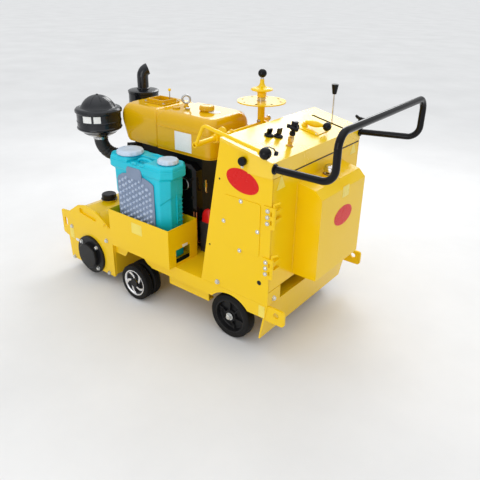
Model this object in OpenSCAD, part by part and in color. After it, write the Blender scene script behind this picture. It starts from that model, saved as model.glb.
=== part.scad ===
// Walk-behind cold planer (road milling machine) with an open single-cylinder diesel.
// X points forward to the milling drum, Y to the operator's left, Z up from the ground.
// Lengths are millimetres. X is measured from the rear face of the cabinet until the
// last shift, which centres the whole machine over the origin.

/* [Body] */
// Width between the outer faces of the body sides
body_w = 752; // [740:2:780]
// Height of the upper face of the deck
deck_z = 277; // [275:1:290]
// Thickness of the deck, the skirts and the inner frame plates
deck_t = 8; // [6:1:10]
// Height of the lower edge of the skirts
skirt_z = 208; // [200:1:214]
// Thickness of the sheet metal of the cabinet
sheet_t = 4; // [3:0.5:5]

/* [Cabinet] */
// Forward edge of the side panel at the deck
panel_foot_x = 394; // [380:1:394]
// Forward edge of the side panel under the lid
panel_head_x = 276; // [262:1:286]
// Rear face of the cabinet and of the door
cabinet_rear_x = 8; // [4:1:10]
// Height of the lid at its forward edge
lid_front_z = 993; // [985:1:1000]
// Height of the lid at its rear edge
lid_rear_z = 936; // [932:1:945]
// Lower edge of the deep lip round the rear of the lid
lip_z = 870; // [860:1:880]
// How far forward the deep lip reaches
lip_x = 131; // [115:1:145]
// Lower edge of the rear door
door_foot_z = 348; // [340:1:352]
// Gap round the rear door
door_gap = 2; // [1:0.5:3]
// Depth of the folded edge of the rear door
door_fold = 18; // [14:1:24]

/* [Hydraulic tank] */
// Depth of the tank behind the door
tank_d = 123; // [100:1:135]
// Left side of the tank
tank_left_y = 185; // [170:1:200]
// Right side of the tank
tank_right_y = -217; // [-240:1:-200]
// Lower face of the tank
tank_foot_z = 364; // [356:1:380]
// Upper face of the tank against the door
tank_top_z = 806; // [780:1:820]
// Chamfer along the upper rear edge of the tank
tank_chamfer = 34; // [20:1:44]

/* [Water box] */
// Gap between the drum chamber and the open box on the left of the deck
box_gap = 15; // [12:1:22]
// Room behind the tank in the box
box_play = 44; // [38:1:50]
// Height of the box above the deck
box_h = 209; // [190:1:230]
// How far the box stands out past the left skirt
box_out = 39; // [30:1:45]
// Room between the tank and the left wall of the box
tank_room = 27; // [20:1:32]

/* [Water tank] */
// Length of the plastic tank
bottle_l = 428; // [410:1:432]
// Depth of the plastic tank
bottle_d = 172; // [160:1:178]
// Height of the shoulder of the tank above its foot
bottle_h = 490; // [470:1:500]
// Radius of the large filler cap
cap_big_r = 70; // [60:1:72]
// Radius of the small cap
cap_small_r = 52; // [44:1:54]

/* [Milling drum] */
// Distance from the rear face of the drum chamber to the drum axle
drum_ahead = 192; // [186:1:198]
// Height of the drum axle
drum_z = 142; // [139:1:148]
// Outer radius of the drum tube
drum_r = 76; // [72:1:78]
// Radius of the drum axle
drum_axle_r = 30; // [26:1:32]
// Number of cutting picks
pick_count = 36; // [24:4:44]
// Angle from one pick to the next round the drum
pick_turn = 100; // [80:5:120]
// Lean of each pick from the radius
pick_lean = 40; // [34:1:45]

/* [Wheels] */
// Radius of the four front tyres
front_r = 100; // [96:1:101]
// Width of one front tyre
front_tyre_w = 50; // [44:1:52]
// Gap between the two tyres of a pair
front_gap = 12; // [10:1:16]
// Distance from the drum chamber back to the front axle
front_behind = 180; // [174:1:186]
// How far the outer front tyre stands out past the skirt
front_out = 45; // [40:1:48]
// Radius of the rear tyres
rear_r = 115; // [110:1:118]
// Width of a rear tyre
rear_tyre_w = 58; // [50:1:60]
// Forward position of the rear axle
rear_x = 237; // [232:1:242]
// Radius of both wheel axles
axle_r = 15; // [13:1:16]

/* [Depth setting] */
// Length of the front axle arm from its pivot to the axle
arm_reach = 200; // [192:1:208]
// Height of the pivot of the front axle arm
pivot_z = 170; // [165:1:175]
// Distance of the depth screw from the foot of the cabinet's front
column_gap = 30; // [28:1:38]
// Sideways position of the depth screw
column_y = -118; // [-126:1:-100]
// Outer radius of the depth column
column_r = 17.5; // [15:0.5:20]
// Radius of the index disc
disc_r = 120; // [100:1:125]
// Height of the index disc
disc_z = 1040; // [1030:1:1060]

/* [Engine] */
// Length of the battery
battery_l = 190; // [180:1:200]
// Width of the battery
battery_w = 129; // [120:1:135]
// Height of the battery
battery_h = 172; // [160:1:180]
// Gap between the battery and the crankcase
engine_gap = 12; // [8:1:20]
// Distance from the rear face of the crankcase to the drum chamber
chamber_ahead = 420; // [412:1:430]
// Gap between the timing cover and the water box
timing_gap = 23; // [18:1:30]
// Lower edge of the hopper
hopper_z = 788; // [780:1:800]
// Height of the hopper
hopper_h = 195; // [180:1:205]
// Length of the hopper
hopper_l = 650; // [630:1:652]
// Width of the hopper
hopper_w = 316; // [290:1:320]
// Radius of the air filter
filter_r = 123; // [110:1:125]
// Radius of the muffler
muffler_r = 88; // [80:1:90]
// Radius of the exhaust pipe
pipe_r = 32; // [28:0.5:35]

/* [Handlebar] */
// Radius of the handlebar tube
bar_r = 16.5; // [14:0.5:18]
// Height of the two legs where they leave the cabinet
bar_start_z = 913; // [908:1:918]
// Height of the two legs at their rear corners
bar_z = 927; // [920:1:935]
// Height of the grip above the rear corners
bar_rise = 184; // [150:1:200]
// Reach of the handlebar behind the cabinet
bar_reach = 296; // [250:1:300]
// Bend radius of the handlebar
bar_bend = 58; // [45:1:70]

/* [Hidden] */

yellow = "gold";
dark_yellow = "goldenrod";
black = "dimgray";
steel = "silver";
seat = 0.3;
run_fit = 0.05;

half_w = body_w / 2;
battery_x = panel_foot_x + 4;
column_x = panel_foot_x + column_gap;
engine_x = battery_x + battery_l + engine_gap;
chamber_x = engine_x + chamber_ahead;
drum_x = chamber_x + drum_ahead;
front_x = chamber_x - front_behind;
pivot_x = front_x - arm_reach;
deck_under = deck_z - deck_t;
frame_y = 240;
arm_y = 205;
arm_t = 12;
plate_in_y = half_w + 8;
plate_t = 12;
plate_out_y = plate_in_y + plate_t;
plate_rear_x = chamber_x + 2;
handle_end_x = cabinet_rear_x - bar_reach;
tab_front_x = drum_x + 253;
mid_x = (handle_end_x + tab_front_x) / 2;

// A profile drawn in X and Z, drawn out sideways from y0 to y1
module across(y0, y1) {
    translate([0, y1, 0]) rotate([90, 0, 0]) linear_extrude(y1 - y0) children();
}

// A profile drawn in Y and Z, drawn out forward from x0 to x1
module along(x0, x1) {
    translate([x0, 0, 0]) rotate([90, 0, 90]) linear_extrude(x1 - x0) children();
}

// A round bar or bore along Y
module bar_y(x, z, r, y0, y1) {
    translate([x, y1, z]) rotate([90, 0, 0]) cylinder(h = y1 - y0, r = r, $fn = 64);
}

// A round bar or bore along X
module bar_x(y, z, r, x0, x1) {
    translate([x0, y, z]) rotate([0, 90, 0]) cylinder(h = x1 - x0, r = r, $fn = 64);
}

// A rectangle with rounded corners between two corner points
module round_rect(a, b, r) {
    translate(a) offset(r = r, $fn = 32) translate([r, r]) square([b[0] - a[0] - 2 * r, b[1] - a[1] - 2 * r]);
}

// A slot between two centre points
module slot(a, b, r) {
    hull() {
        translate(a) circle(r = r, $fn = 32);
        translate(b) circle(r = r, $fn = 32);
    }
}

// Copies a left-hand piece to the right-hand side
module both_sides() {
    children();
    mirror([0, 1, 0]) children();
}

// Chassis

rear_arch_r = rear_r + 26;
rear_arch_x = rear_x - 14;
front_arch_rear_x = front_x - 96;
front_arch_front_x = front_x + 103;

beam_foot_z = 92;
beam_lean = 33;
beam_t = 8;
beam_slope = beam_lean / (deck_z - beam_foot_z);
deck_rear_x = cabinet_rear_x + beam_t + 1;

module skirt_profile() {
    difference() {
        polygon([
            [deck_rear_x, deck_z], [chamber_x, deck_z], [chamber_x, skirt_z],
            [deck_rear_x + beam_slope * (deck_z - skirt_z), skirt_z]]);
        translate([rear_arch_x, rear_r]) circle(r = rear_arch_r, $fn = 96);
        polygon([
            [front_arch_rear_x - 4, skirt_z - 1], [front_arch_rear_x, skirt_z + 5],
            [front_arch_rear_x + 26, skirt_z + 14], [front_arch_rear_x + 51, skirt_z + 36],
            [front_arch_rear_x + 58, deck_under], [front_arch_front_x - 18, deck_under],
            [front_arch_front_x - 18, skirt_z + 28], [front_arch_front_x, skirt_z + 4],
            [front_arch_front_x + 4, skirt_z - 1]]);
    }
}

rail_rear_x = rear_x + rear_r + 14;
rail_front_x = pivot_x - 7;
rail_z = skirt_z - 58;
rail_y = half_w - 20;
rail_w = 40;
pivot_lug_r = 32;

module frame_profile() {
    difference() {
        union() {
            translate([pivot_x - pivot_lug_r, skirt_z - 18])
                square([chamber_x - pivot_x + pivot_lug_r, deck_z - skirt_z + 14]);
            hull() {
                translate([pivot_x, pivot_z]) circle(r = pivot_lug_r, $fn = 48);
                translate([pivot_x - pivot_lug_r, skirt_z]) square([2 * pivot_lug_r, 20]);
            }
        }
        translate([front_x + 8, front_r + 52]) circle(r = axle_r + 34, $fn = 48);
    }
}

module deck_frame() {
    color(yellow) difference() {
        union() {
            translate([deck_rear_x + 2, -half_w + deck_t, deck_under])
                cube([chamber_x - deck_rear_x - 2, body_w - 2 * deck_t, deck_t]);
            both_sides() {
                across(half_w - deck_t, half_w) skirt_profile();
                across(frame_y, frame_y + deck_t) frame_profile();
                // Outer rail, an open channel between the wheels
                translate([rail_rear_x, rail_y - deck_t, rail_z])
                    cube([rail_front_x - rail_rear_x, deck_t, deck_under - rail_z]);
                translate([rail_rear_x, rail_y - rail_w, rail_z])
                    cube([rail_front_x - rail_rear_x, rail_w, deck_t]);
                // Hanger of the rear axle
                across(frame_y, frame_y + deck_t + 4) hull() {
                    translate([rear_x, rear_r]) circle(r = axle_r + 20, $fn = 48);
                    translate([rear_x - 60, deck_under - 12]) square([120, 12]);
                }
                // Pin of the front axle arm
                bar_y(pivot_x, pivot_z, axle_r, arm_y - 6, frame_y + deck_t + 5);
            }
            // Cross members under the deck
            for (x = [96, rail_rear_x + 20, rail_front_x - 50])
                translate([x, -frame_y, deck_under - 40]) cube([30, 2 * frame_y, 40]);
        }
        both_sides() bar_y(rear_x, rear_r, axle_r + run_fit, frame_y - 5, frame_y + deck_t + 20);
        // Hole for the depth screw
        translate([column_x, column_y, deck_under - 80]) cylinder(h = 120, r = screw_r + 8, $fn = 48);
    }
}

ear_hole_d = 28;
ear_hole_x = cabinet_rear_x - 45;
ear_hole_z = skirt_z + 38;
ear_t = 12;
ear_y = half_w - 16;

module rear_beam() {
    color(yellow) difference() {
        union() {
            across(-half_w, half_w) polygon([
                [cabinet_rear_x, deck_z], [deck_rear_x - seat, deck_z],
                [deck_rear_x - seat + beam_lean, beam_foot_z], [cabinet_rear_x + beam_lean, beam_foot_z]]);
            both_sides() across(ear_y, ear_y + ear_t) intersection() {
                round_rect([cabinet_rear_x - 88, skirt_z - 8], [cabinet_rear_x + 60, deck_z - 1], 16);
                polygon([
                    [cabinet_rear_x - 100, deck_z], [cabinet_rear_x + beam_t / 2, deck_z],
                    [cabinet_rear_x + beam_t / 2 + beam_lean, beam_foot_z], [cabinet_rear_x - 100, beam_foot_z]]);
            }
        }
        both_sides() bar_y(ear_hole_x, ear_hole_z, ear_hole_d / 2, ear_y - 1, ear_y + ear_t + 1);
    }
}

// Drum housing

plate_foot_z = drum_z - 84;
plate_nose_x = drum_x + 200;

module side_plate_profile() {
    difference() {
        offset(r = 8, $fn = 32) offset(delta = -8) polygon([
            [plate_rear_x, plate_foot_z], [plate_nose_x, plate_foot_z],
            [plate_nose_x + 7, drum_z + 54], [tab_front_x, drum_z + 68],
            [tab_front_x, drum_z + 211], [drum_x + 184, drum_z + 215],
            [drum_x + 92, drum_z + 277], [drum_x + 28, drum_z + 291],
            [drum_x - 65, drum_z + 279], [drum_x - 172, drum_z + 216],
            [plate_rear_x, drum_z + 202]]);
        slot([drum_x - 52, drum_z + 236], [drum_x + 62, drum_z + 251], 17);
        slot([drum_x + 220, drum_z + 124], [drum_x + 220, drum_z + 156], 13);
    }
}

module side_plate() {
    color(yellow) difference() {
        across(plate_in_y, plate_out_y) side_plate_profile();
        bar_y(drum_x, drum_z, bearing_hub_r + seat, plate_in_y - 1, plate_out_y + 1);
    }
}

module plate_left() {
    side_plate();
}

module plate_right() {
    mirror([0, 1, 0]) side_plate();
}

hood_t = 6;
hood_rear_x = chamber_x + hood_t + 2;
hood_nose_x = drum_x + 186;
ridge_x = drum_x + 28;
ridge_z = drum_z + 276;
belt_wall_y = 114 - half_w;
belt_wall_t = 12;

// Outline of the chamber, drawn smaller by inset for the inside
module chamber_profile(inset, foot) {
    polygon([
        [chamber_x + inset, foot], [chamber_x + inset, drum_z + 194 - 0.6 * inset],
        [drum_x - 66, drum_z + 264 - 1.15 * inset], [ridge_x, ridge_z - inset],
        [drum_x + 88, drum_z + 262 - 1.1 * inset],
        [hood_nose_x - inset, drum_z + 198 - 0.6 * inset], [hood_nose_x - inset, foot]]);
}

module drum_hood() {
    color(yellow) difference() {
        union() {
            difference() {
                union() {
                    across(-plate_in_y, plate_in_y) chamber_profile(0, drum_z - 70);
                    translate([ridge_x - 2, hood_cap_y, ridge_z - 20])
                        cylinder(h = 20 + hood_boss_h, r = hood_cap_r - 2, $fn = 64);
                }
                across(-plate_in_y - 1, plate_in_y + 1) chamber_profile(hood_t, drum_z - 90);
            }
            // Wall between the drum and its belt drive
            across(belt_wall_y, belt_wall_y + belt_wall_t) chamber_profile(hood_t - 1, drum_z - 60);
        }
        bar_y(drum_x, drum_z, drum_axle_r + 12, belt_wall_y - 1, belt_wall_y + belt_wall_t + 1);
    }
}

hood_cap_r = 40;
hood_cap_y = half_w - 155;
hood_boss_h = 5;

module hood_cap() {
    color(black) translate([ridge_x - 2, hood_cap_y, ridge_z + hood_boss_h + seat])
        rotate_extrude($fn = 72) polygon([
            [0, 0], [hood_cap_r + 6, 0], [hood_cap_r + 6, 4], [hood_cap_r, 6],
            [hood_cap_r, 30], [hood_cap_r - 4, 34], [0, 34]]);
}

flange_r = 112;
flange_t = 15;
bearing_cap_r = 74;
bearing_cap_t = 25;
bearing_hub_r = 60;
bearing_depth = 22;
flange_out_y = plate_out_y + flange_t + bearing_cap_t;

module drum_bearings() {
    color(black) both_sides() translate([drum_x, plate_out_y, drum_z]) rotate([-90, 0, 0])
        difference() {
            rotate_extrude($fn = 96) polygon([
                [0, -bearing_depth], [bearing_hub_r, -bearing_depth], [bearing_hub_r, 0],
                [flange_r, 0], [flange_r, flange_t - 3], [flange_r - 3, flange_t],
                [bearing_cap_r, flange_t], [bearing_cap_r, flange_t + bearing_cap_t - 4],
                [bearing_cap_r - 4, flange_t + bearing_cap_t], [0, flange_t + bearing_cap_t]]);
            translate([0, 0, -bearing_depth - 1])
                cylinder(h = bearing_depth + 11, r = drum_axle_r + run_fit, $fn = 64);
        }
}

// Milling drum

drum_left_y = half_w - 14;
drum_right_y = belt_wall_y + belt_wall_t + 14;
drum_l = drum_left_y - drum_right_y;
holder_l = 34;
holder_w = 26;
holder_sink = 14;
holder_top = 22;
pick_len = 36;
pick_margin = 20;
pick_pitch = (drum_l - 2 * pick_margin) / (pick_count - 1);

module drum_axle() {
    color(steel) bar_y(drum_x, drum_z, drum_axle_r, -plate_out_y - 8, plate_out_y + 8);
}

// Puts its children on the drum at each pick's place, with Z along the pick
module on_drum() {
    for (i = [0 : pick_count - 1])
        translate([drum_x, drum_right_y + pick_margin + i * pick_pitch, drum_z])
            rotate([0, i * pick_turn, 0]) translate([0, 0, drum_r])
            rotate([0, pick_lean, 0]) children();
}

pulley_y = belt_wall_y - 76;
pulley_w = 60;
pulley_r = 74;
groove_count = 3;

module drum_pulley() {
    groove = (pulley_w - 12) / groove_count;
    color(black) translate([drum_x, pulley_y, drum_z]) rotate([-90, 0, 0]) difference() {
        cylinder(h = pulley_w, r = pulley_r, $fn = 96);
        for (i = [0 : groove_count - 1]) translate([0, 0, 6 + i * groove]) rotate_extrude($fn = 96)
            polygon([[pulley_r - 11, 5], [pulley_r + 2, 0.5], [pulley_r + 2, groove - 0.5], [pulley_r - 11, groove - 5]]);
        translate([0, 0, -1]) cylinder(h = pulley_w + 2, r = drum_axle_r, $fn = 64);
    }
}

module drum_shell() {
    color(black) difference() {
        union() {
            bar_y(drum_x, drum_z, drum_r, drum_right_y, drum_left_y);
            on_drum() translate([-holder_l / 2, -holder_w / 2, -holder_sink])
                cube([holder_l, holder_w, holder_sink + holder_top]);
        }
        bar_y(drum_x, drum_z, drum_r - 16, drum_right_y + 14, drum_left_y - 14);
        bar_y(drum_x, drum_z, drum_axle_r, drum_right_y - 1, drum_left_y + 1);
    }
}

module drum_picks() {
    color(steel) on_drum() translate([0, 0, holder_top]) rotate_extrude($fn = 32)
        polygon([[0, 0], [11, 0], [11, 6], [8, 8], [6, 20], [2, pick_len], [0, pick_len]]);
}

// Front wheels and the arm that sets the milling depth

outer_tyre_y = half_w + front_out - front_tyre_w;
inner_tyre_y = outer_tyre_y - front_gap - front_tyre_w;
rim_r = front_r - 26;
tyre_side = 4;
arm_screw_z = 190;
screw_r = 10;
lever_eye = 50;
hub_bore_r = axle_r + run_fit;

module tyre_section(r, bore, w, crown) {
    polygon([
        [bore, 3], [bore + 4, 0], [r - crown - 6, 0], [r - crown, 2], [r, crown + 2],
        [r, w - crown - 2], [r - crown, w - 2], [r - crown - 6, w], [bore + 4, w], [bore, w - 3]]);
}

// Stands a piece turned about Z on the wheel's axle, its face at y
module on_axle(x, z, y) {
    translate([x, y, z]) rotate([-90, 0, 0]) children();
}

module front_tyres() {
    color(black) for (y = [inner_tyre_y, outer_tyre_y]) on_axle(front_x, front_r, y)
        rotate_extrude($fn = 96) tyre_section(front_r, rim_r, front_tyre_w, 8);
}

// One alloy rim: a rolled rim, a set-back web with five raked windows and a hub
module front_rim() {
    spoke_count = 5;
    difference() {
        rotate_extrude($fn = 96) polygon([
            [hub_bore_r, 8], [28, 4], [30, 12], [rim_r - 12, 14], [rim_r - 6, 3],
            [rim_r, 3], [rim_r, front_tyre_w - 3], [rim_r - 6, front_tyre_w - 3],
            [rim_r - 12, front_tyre_w - 14], [30, front_tyre_w - 12],
            [28, front_tyre_w - 4], [hub_bore_r, front_tyre_w - 4]]);
        for (i = [0 : spoke_count - 1]) rotate([0, 0, i * 360 / spoke_count])
            linear_extrude(front_tyre_w) polygon([
                [34, -3], [38, -13], [rim_r - 15, -6], [rim_r - 16, 22], [rim_r - 26, 26]]);
    }
}

module front_rims() {
    color(steel) {
        for (y = [inner_tyre_y, outer_tyre_y]) on_axle(front_x, front_r, y) front_rim();
        on_axle(front_x, front_r, inner_tyre_y + front_tyre_w - 4) difference() {
            cylinder(h = front_gap + 8 + 4, r = 26, $fn = 48);
            translate([0, 0, -1]) cylinder(h = front_gap + 20, r = hub_bore_r, $fn = 64);
        }
        on_axle(front_x, front_r, outer_tyre_y + front_tyre_w - 4) cylinder(h = 4, r = 27, $fn = 48);
    }
}

module tyres_front_left() {
    front_tyres();
}

module tyres_front_right() {
    mirror([0, 1, 0]) front_tyres();
}

module rims_front_left() {
    front_rims();
}

module rims_front_right() {
    mirror([0, 1, 0]) front_rims();
}

axle_end_y = outer_tyre_y + front_tyre_w - 5;

module axle_arm() {
    color(yellow) difference() {
        union() {
            bar_y(front_x, front_r, axle_r, -axle_end_y, axle_end_y);
            both_sides() {
                across(arm_y - 6, arm_y + arm_t) hull() {
                    translate([front_x, front_r]) circle(r = 26, $fn = 48);
                    translate([pivot_x, pivot_z]) circle(r = 28, $fn = 48);
                }
                bar_y(front_x, front_r, 24, arm_y, inner_tyre_y + 3.7);
            }
            bar_y(pivot_x, pivot_z, 24, -arm_y, arm_y);
            // Lever back to the depth screw, with its trunnion
            across(column_y - 8, column_y + 8) hull() {
                translate([pivot_x, pivot_z]) circle(r = 24, $fn = 48);
                translate([column_x + lever_eye / 2 + 6, arm_screw_z]) circle(r = 11, $fn = 48);
            }
            translate([column_x - lever_eye / 2 - 4, column_y - lever_eye / 2, arm_screw_z - 12])
                cube([lever_eye + 12, lever_eye, 24]);
        }
        both_sides() bar_y(pivot_x, pivot_z, axle_r + run_fit, arm_y - 14, arm_y + arm_t + 1);
        translate([column_x, column_y, arm_screw_z - 30]) linear_extrude(60)
            slot([-7, 0], [7, 0], screw_r + 5);
    }
}

// Rear wheels

rear_tyre_y = half_w - 20 - rear_tyre_w;
rear_rim_r = rear_r - 28;

module rear_axle() {
    color(steel) bar_y(rear_x, rear_r, axle_r, -rear_tyre_y - rear_tyre_w + 4, rear_tyre_y + rear_tyre_w - 4);
    color(steel) both_sides() difference() {
        bar_y(rear_x, rear_r, 30, frame_y - 24, frame_y - seat);
        bar_y(rear_x, rear_r, axle_r, frame_y - 25, frame_y);
    }
}

module rear_tyre() {
    color(black) on_axle(rear_x, rear_r, rear_tyre_y) rotate_extrude($fn = 96)
        tyre_section(rear_r, rear_rim_r, rear_tyre_w, 6);
}

// Dished hub with ribs behind its rim
module rear_hub() {
    rib_count = 8;
    color(black) on_axle(rear_x, rear_r, rear_tyre_y) {
        rotate_extrude($fn = 96) polygon([
            [hub_bore_r, 2], [30, 2], [34, 18], [rear_rim_r - 12, 18], [rear_rim_r - 8, 3],
            [rear_rim_r, 3], [rear_rim_r, rear_tyre_w - 3], [rear_rim_r - 8, rear_tyre_w - 3],
            [rear_rim_r - 14, 30], [34, 30], [26, rear_tyre_w - 8], [hub_bore_r, rear_tyre_w - 8]]);
        for (i = [0 : rib_count - 1]) rotate([0, 0, i * 360 / rib_count])
            translate([28, -3, 28]) cube([rear_rim_r - 40, 6, 14]);
    }
}

module tyre_rear_left() {
    rear_tyre();
}

module tyre_rear_right() {
    mirror([0, 1, 0]) rear_tyre();
}

module hub_rear_left() {
    rear_hub();
}

module hub_rear_right() {
    mirror([0, 1, 0]) rear_hub();
}

// Water box and the plastic tank in it

box_t = 3;
box_fit = 4;
collar_step = 46;
box_front_x = chamber_x - box_gap;
bottle_x = box_front_x - box_t - box_fit - (bottle_l - collar_step) / 2;
box_rear_x = bottle_x - (bottle_l - collar_step) / 2 - box_play - box_t;
box_slack = 1;
box_w = 2 * box_t + tank_room + bottle_d + box_slack;
box_l = box_front_x - box_rear_x;
box_left_y = half_w + box_out;
box_right_y = box_left_y - box_w;
timing_y = box_right_y - timing_gap;
window_z = deck_z + 13;
window_h = 74;
window_y = box_right_y + 56;
window_w = 100;

module water_box() {
    color(yellow) difference() {
        translate([box_rear_x, box_right_y, deck_z]) cube([box_l, box_w, box_h]);
        translate([box_rear_x + box_t, box_right_y + box_t, deck_z + box_t])
            cube([box_l - 2 * box_t, box_w - 2 * box_t, box_h]);
        along(box_rear_x - 1, box_rear_x + box_t + 1)
            round_rect([window_y, window_z], [window_y + window_w, window_z + window_h], 5);
    }
}

bottle_y = box_left_y - box_t - tank_room - bottle_d / 2;
bottle_z = deck_z + box_t + seat;
collar_h = 52;
shoulder_h = 9;
corner_cut = 38;
waist_h = 190;
cap_big_x = bottle_x + bottle_l / 2 - cap_big_r - 43;
cap_small_x = bottle_x - bottle_l / 2 + cap_small_r + 6;
cap_z = bottle_z + bottle_h + shoulder_h;

// Rectangle with cut corners, centred on the tank
module cut_rect(l, d, c) {
    polygon([
        [l / 2 - c, -d / 2], [l / 2, -d / 2 + c], [l / 2, d / 2 - c], [l / 2 - c, d / 2],
        [-l / 2 + c, d / 2], [-l / 2, d / 2 - c], [-l / 2, -d / 2 + c], [-l / 2 + c, -d / 2]]);
}

module water_tank() {
    color("darkturquoise") translate([bottle_x, bottle_y, bottle_z]) difference() {
        union() {
            linear_extrude(waist_h) cut_rect(bottle_l - collar_step, bottle_d - 16, corner_cut);
            translate([0, 0, waist_h]) linear_extrude(bottle_h - collar_h - waist_h)
                cut_rect(bottle_l - collar_step + 6, bottle_d - 12, corner_cut);
            translate([0, 0, bottle_h - collar_h]) linear_extrude(collar_h)
                cut_rect(bottle_l, bottle_d, corner_cut + 4);
            hull() {
                translate([0, 0, bottle_h]) linear_extrude(1) cut_rect(bottle_l - 6, bottle_d - 6, corner_cut);
                translate([0, 0, bottle_h + shoulder_h - 1]) linear_extrude(1)
                    cut_rect(bottle_l - 30, bottle_d - 30, corner_cut - 6);
            }
        }
        // Hand recess between the two caps
        translate([-6, 0, bottle_h - 16]) linear_extrude(60) square([62, bottle_d + 10], center = true);
    }
}

pad_t = 5;
pad_neck_z = bottle_h - collar_h;
pad_x0 = bottle_x - 120;
pad_x1 = bottle_x + 141;

module tank_pad() {
    color("lightsteelblue") translate([0, bottle_y + bottle_d / 2 - 6 + seat, bottle_z])
        across(0, pad_t) union() {
            offset(r = 14, $fn = 32) offset(delta = -14) polygon([
                [pad_x0, 24], [pad_x1, 24], [pad_x1, pad_neck_z - 46], [pad_x1 - 36, pad_neck_z - 20],
                [pad_x0 + 44, pad_neck_z - 20], [pad_x0, pad_neck_z - 56]]);
            translate([pad_x0 + 78, pad_neck_z - 28]) square([104, 26]);
        }
}

module ribbed_cap(r, h) {
    difference() {
        rotate_extrude($fn = 72) polygon([[0, 0], [r - 6, 0], [r, 6], [r, h - 5], [r - 5, h], [0, h]]);
        for (i = [0 : 11]) rotate([0, 0, i * 30]) translate([r + 7, 0, -1]) cylinder(h = h + 2, r = 10, $fn = 24);
    }
}

module tank_caps() {
    color("gainsboro") {
        translate([cap_big_x, bottle_y, cap_z]) ribbed_cap(cap_big_r, 26);
        translate([cap_small_x, bottle_y, cap_z]) ribbed_cap(cap_small_r, 24);
    }
}

// Engine

crank_left_y = 126;
crank_right_y = -136;
crank_l = 262;
block_l = 460;
engine_top_z = hopper_z - seat;
engine_front_x = engine_x + block_l;
head_l = 74;
head_x = engine_front_x + head_l;

module crankcase() {
    color(black) union() {
        // Crankcase, cylinder jacket and head
        across(crank_right_y, crank_left_y) polygon([
            [engine_x, deck_z + 15], [engine_x + crank_l + 20, deck_z + 15],
            [engine_x + crank_l + 60, deck_z + 70], [engine_x + crank_l + 70, deck_z + 150],
            [engine_x + crank_l + 70, engine_top_z], [engine_x, engine_top_z]]);
        across(crank_right_y + 30, crank_left_y - 24) polygon([
            [engine_x + crank_l, deck_z + 150], [engine_front_x, deck_z + 170],
            [engine_front_x, engine_top_z], [engine_x + crank_l, engine_top_z]]);
        translate([engine_front_x, crank_right_y + 44, deck_z + 185])
            cube([head_l, crank_left_y - crank_right_y - 82, 300]);
        // Inlet port
        at_elbow_end() translate([0, 0, seat]) cylinder(h = 120, r = elbow_r + 6, $fn = 64);
        // Feet
        for (y = [crank_right_y, crank_left_y - 46])
            translate([engine_x + 10, y, deck_z]) cube([crank_l + 10, 46, 15]);
        // Flywheel on the right
        bar_y(engine_x + 110, deck_z + 275, 190, crank_right_y - 92, crank_right_y - 14);
        bar_y(engine_x + 110, deck_z + 275, 60, crank_right_y - 14, crank_right_y + 5);
    }
}

timing_x = engine_x + 250;
timing_edge = 16;

module timing_profile() {
    polygon([
        [engine_x, deck_z + 90], [engine_x + 44, deck_z + 44], [timing_x - 40, deck_z + 44],
        [timing_x, deck_z + 84], [timing_x, deck_z + 410], [timing_x - 50, deck_z + 468],
        [engine_x + 36, deck_z + 468], [engine_x, deck_z + 440]]);
}

module timing_cover() {
    color(black) {
        across(crank_left_y, timing_y - timing_edge) timing_profile();
        translate([0, timing_y, 0]) rotate([90, 0, 0]) hull() {
            linear_extrude(1) offset(delta = -timing_edge) timing_profile();
            translate([0, 0, timing_edge - 1]) linear_extrude(1) timing_profile();
        }
        // Boss for the starting handle
        difference() {
            bar_y(engine_x + 64, deck_z + 367, 34, timing_y - 2, timing_y + 14);
            bar_y(engine_x + 64, deck_z + 367, 24, timing_y + 4, timing_y + 16);
        }
        bar_y(engine_x + 64, deck_z + 367, 14, timing_y, timing_y + 10);
        // Oil filler and governor cover
        bar_y(engine_x + 170, deck_z + 170, 46, timing_y - 2, timing_y + 10);
    }
}

hopper_rear_x = engine_x - 100;
hopper_y = 16;
hopper_corner = 48;

module hopper_layer(x0, x1, inset) {
    translate([0, hopper_y]) round_rect(
        [x0 + inset, -hopper_w / 2 + inset], [x1 - inset, hopper_w / 2 - inset], hopper_corner);
}

module hopper() {
    nose_x = hopper_rear_x + hopper_l;
    color(dark_yellow) hull() {
        translate([0, 0, hopper_z]) linear_extrude(1) hopper_layer(hopper_rear_x + 4, nose_x - 38, 4);
        translate([0, 0, hopper_z + 12]) linear_extrude(1) hopper_layer(hopper_rear_x, nose_x - 34, 0);
        translate([0, 0, hopper_z + 0.55 * hopper_h]) linear_extrude(1) hopper_layer(hopper_rear_x, nose_x, 0);
        translate([0, 0, hopper_z + 0.78 * hopper_h]) linear_extrude(1) hopper_layer(hopper_rear_x, nose_x, 0);
        translate([0, 0, hopper_z + 0.92 * hopper_h]) linear_extrude(1) hopper_layer(hopper_rear_x, nose_x, 12);
        translate([0, 0, hopper_z + hopper_h - 1]) linear_extrude(1) hopper_layer(hopper_rear_x, nose_x, 40);
    }
}

hopper_top_z = hopper_z + hopper_h;
frame_x = engine_x + 319;
frame_l = 122;
frame_w = 100;

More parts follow.
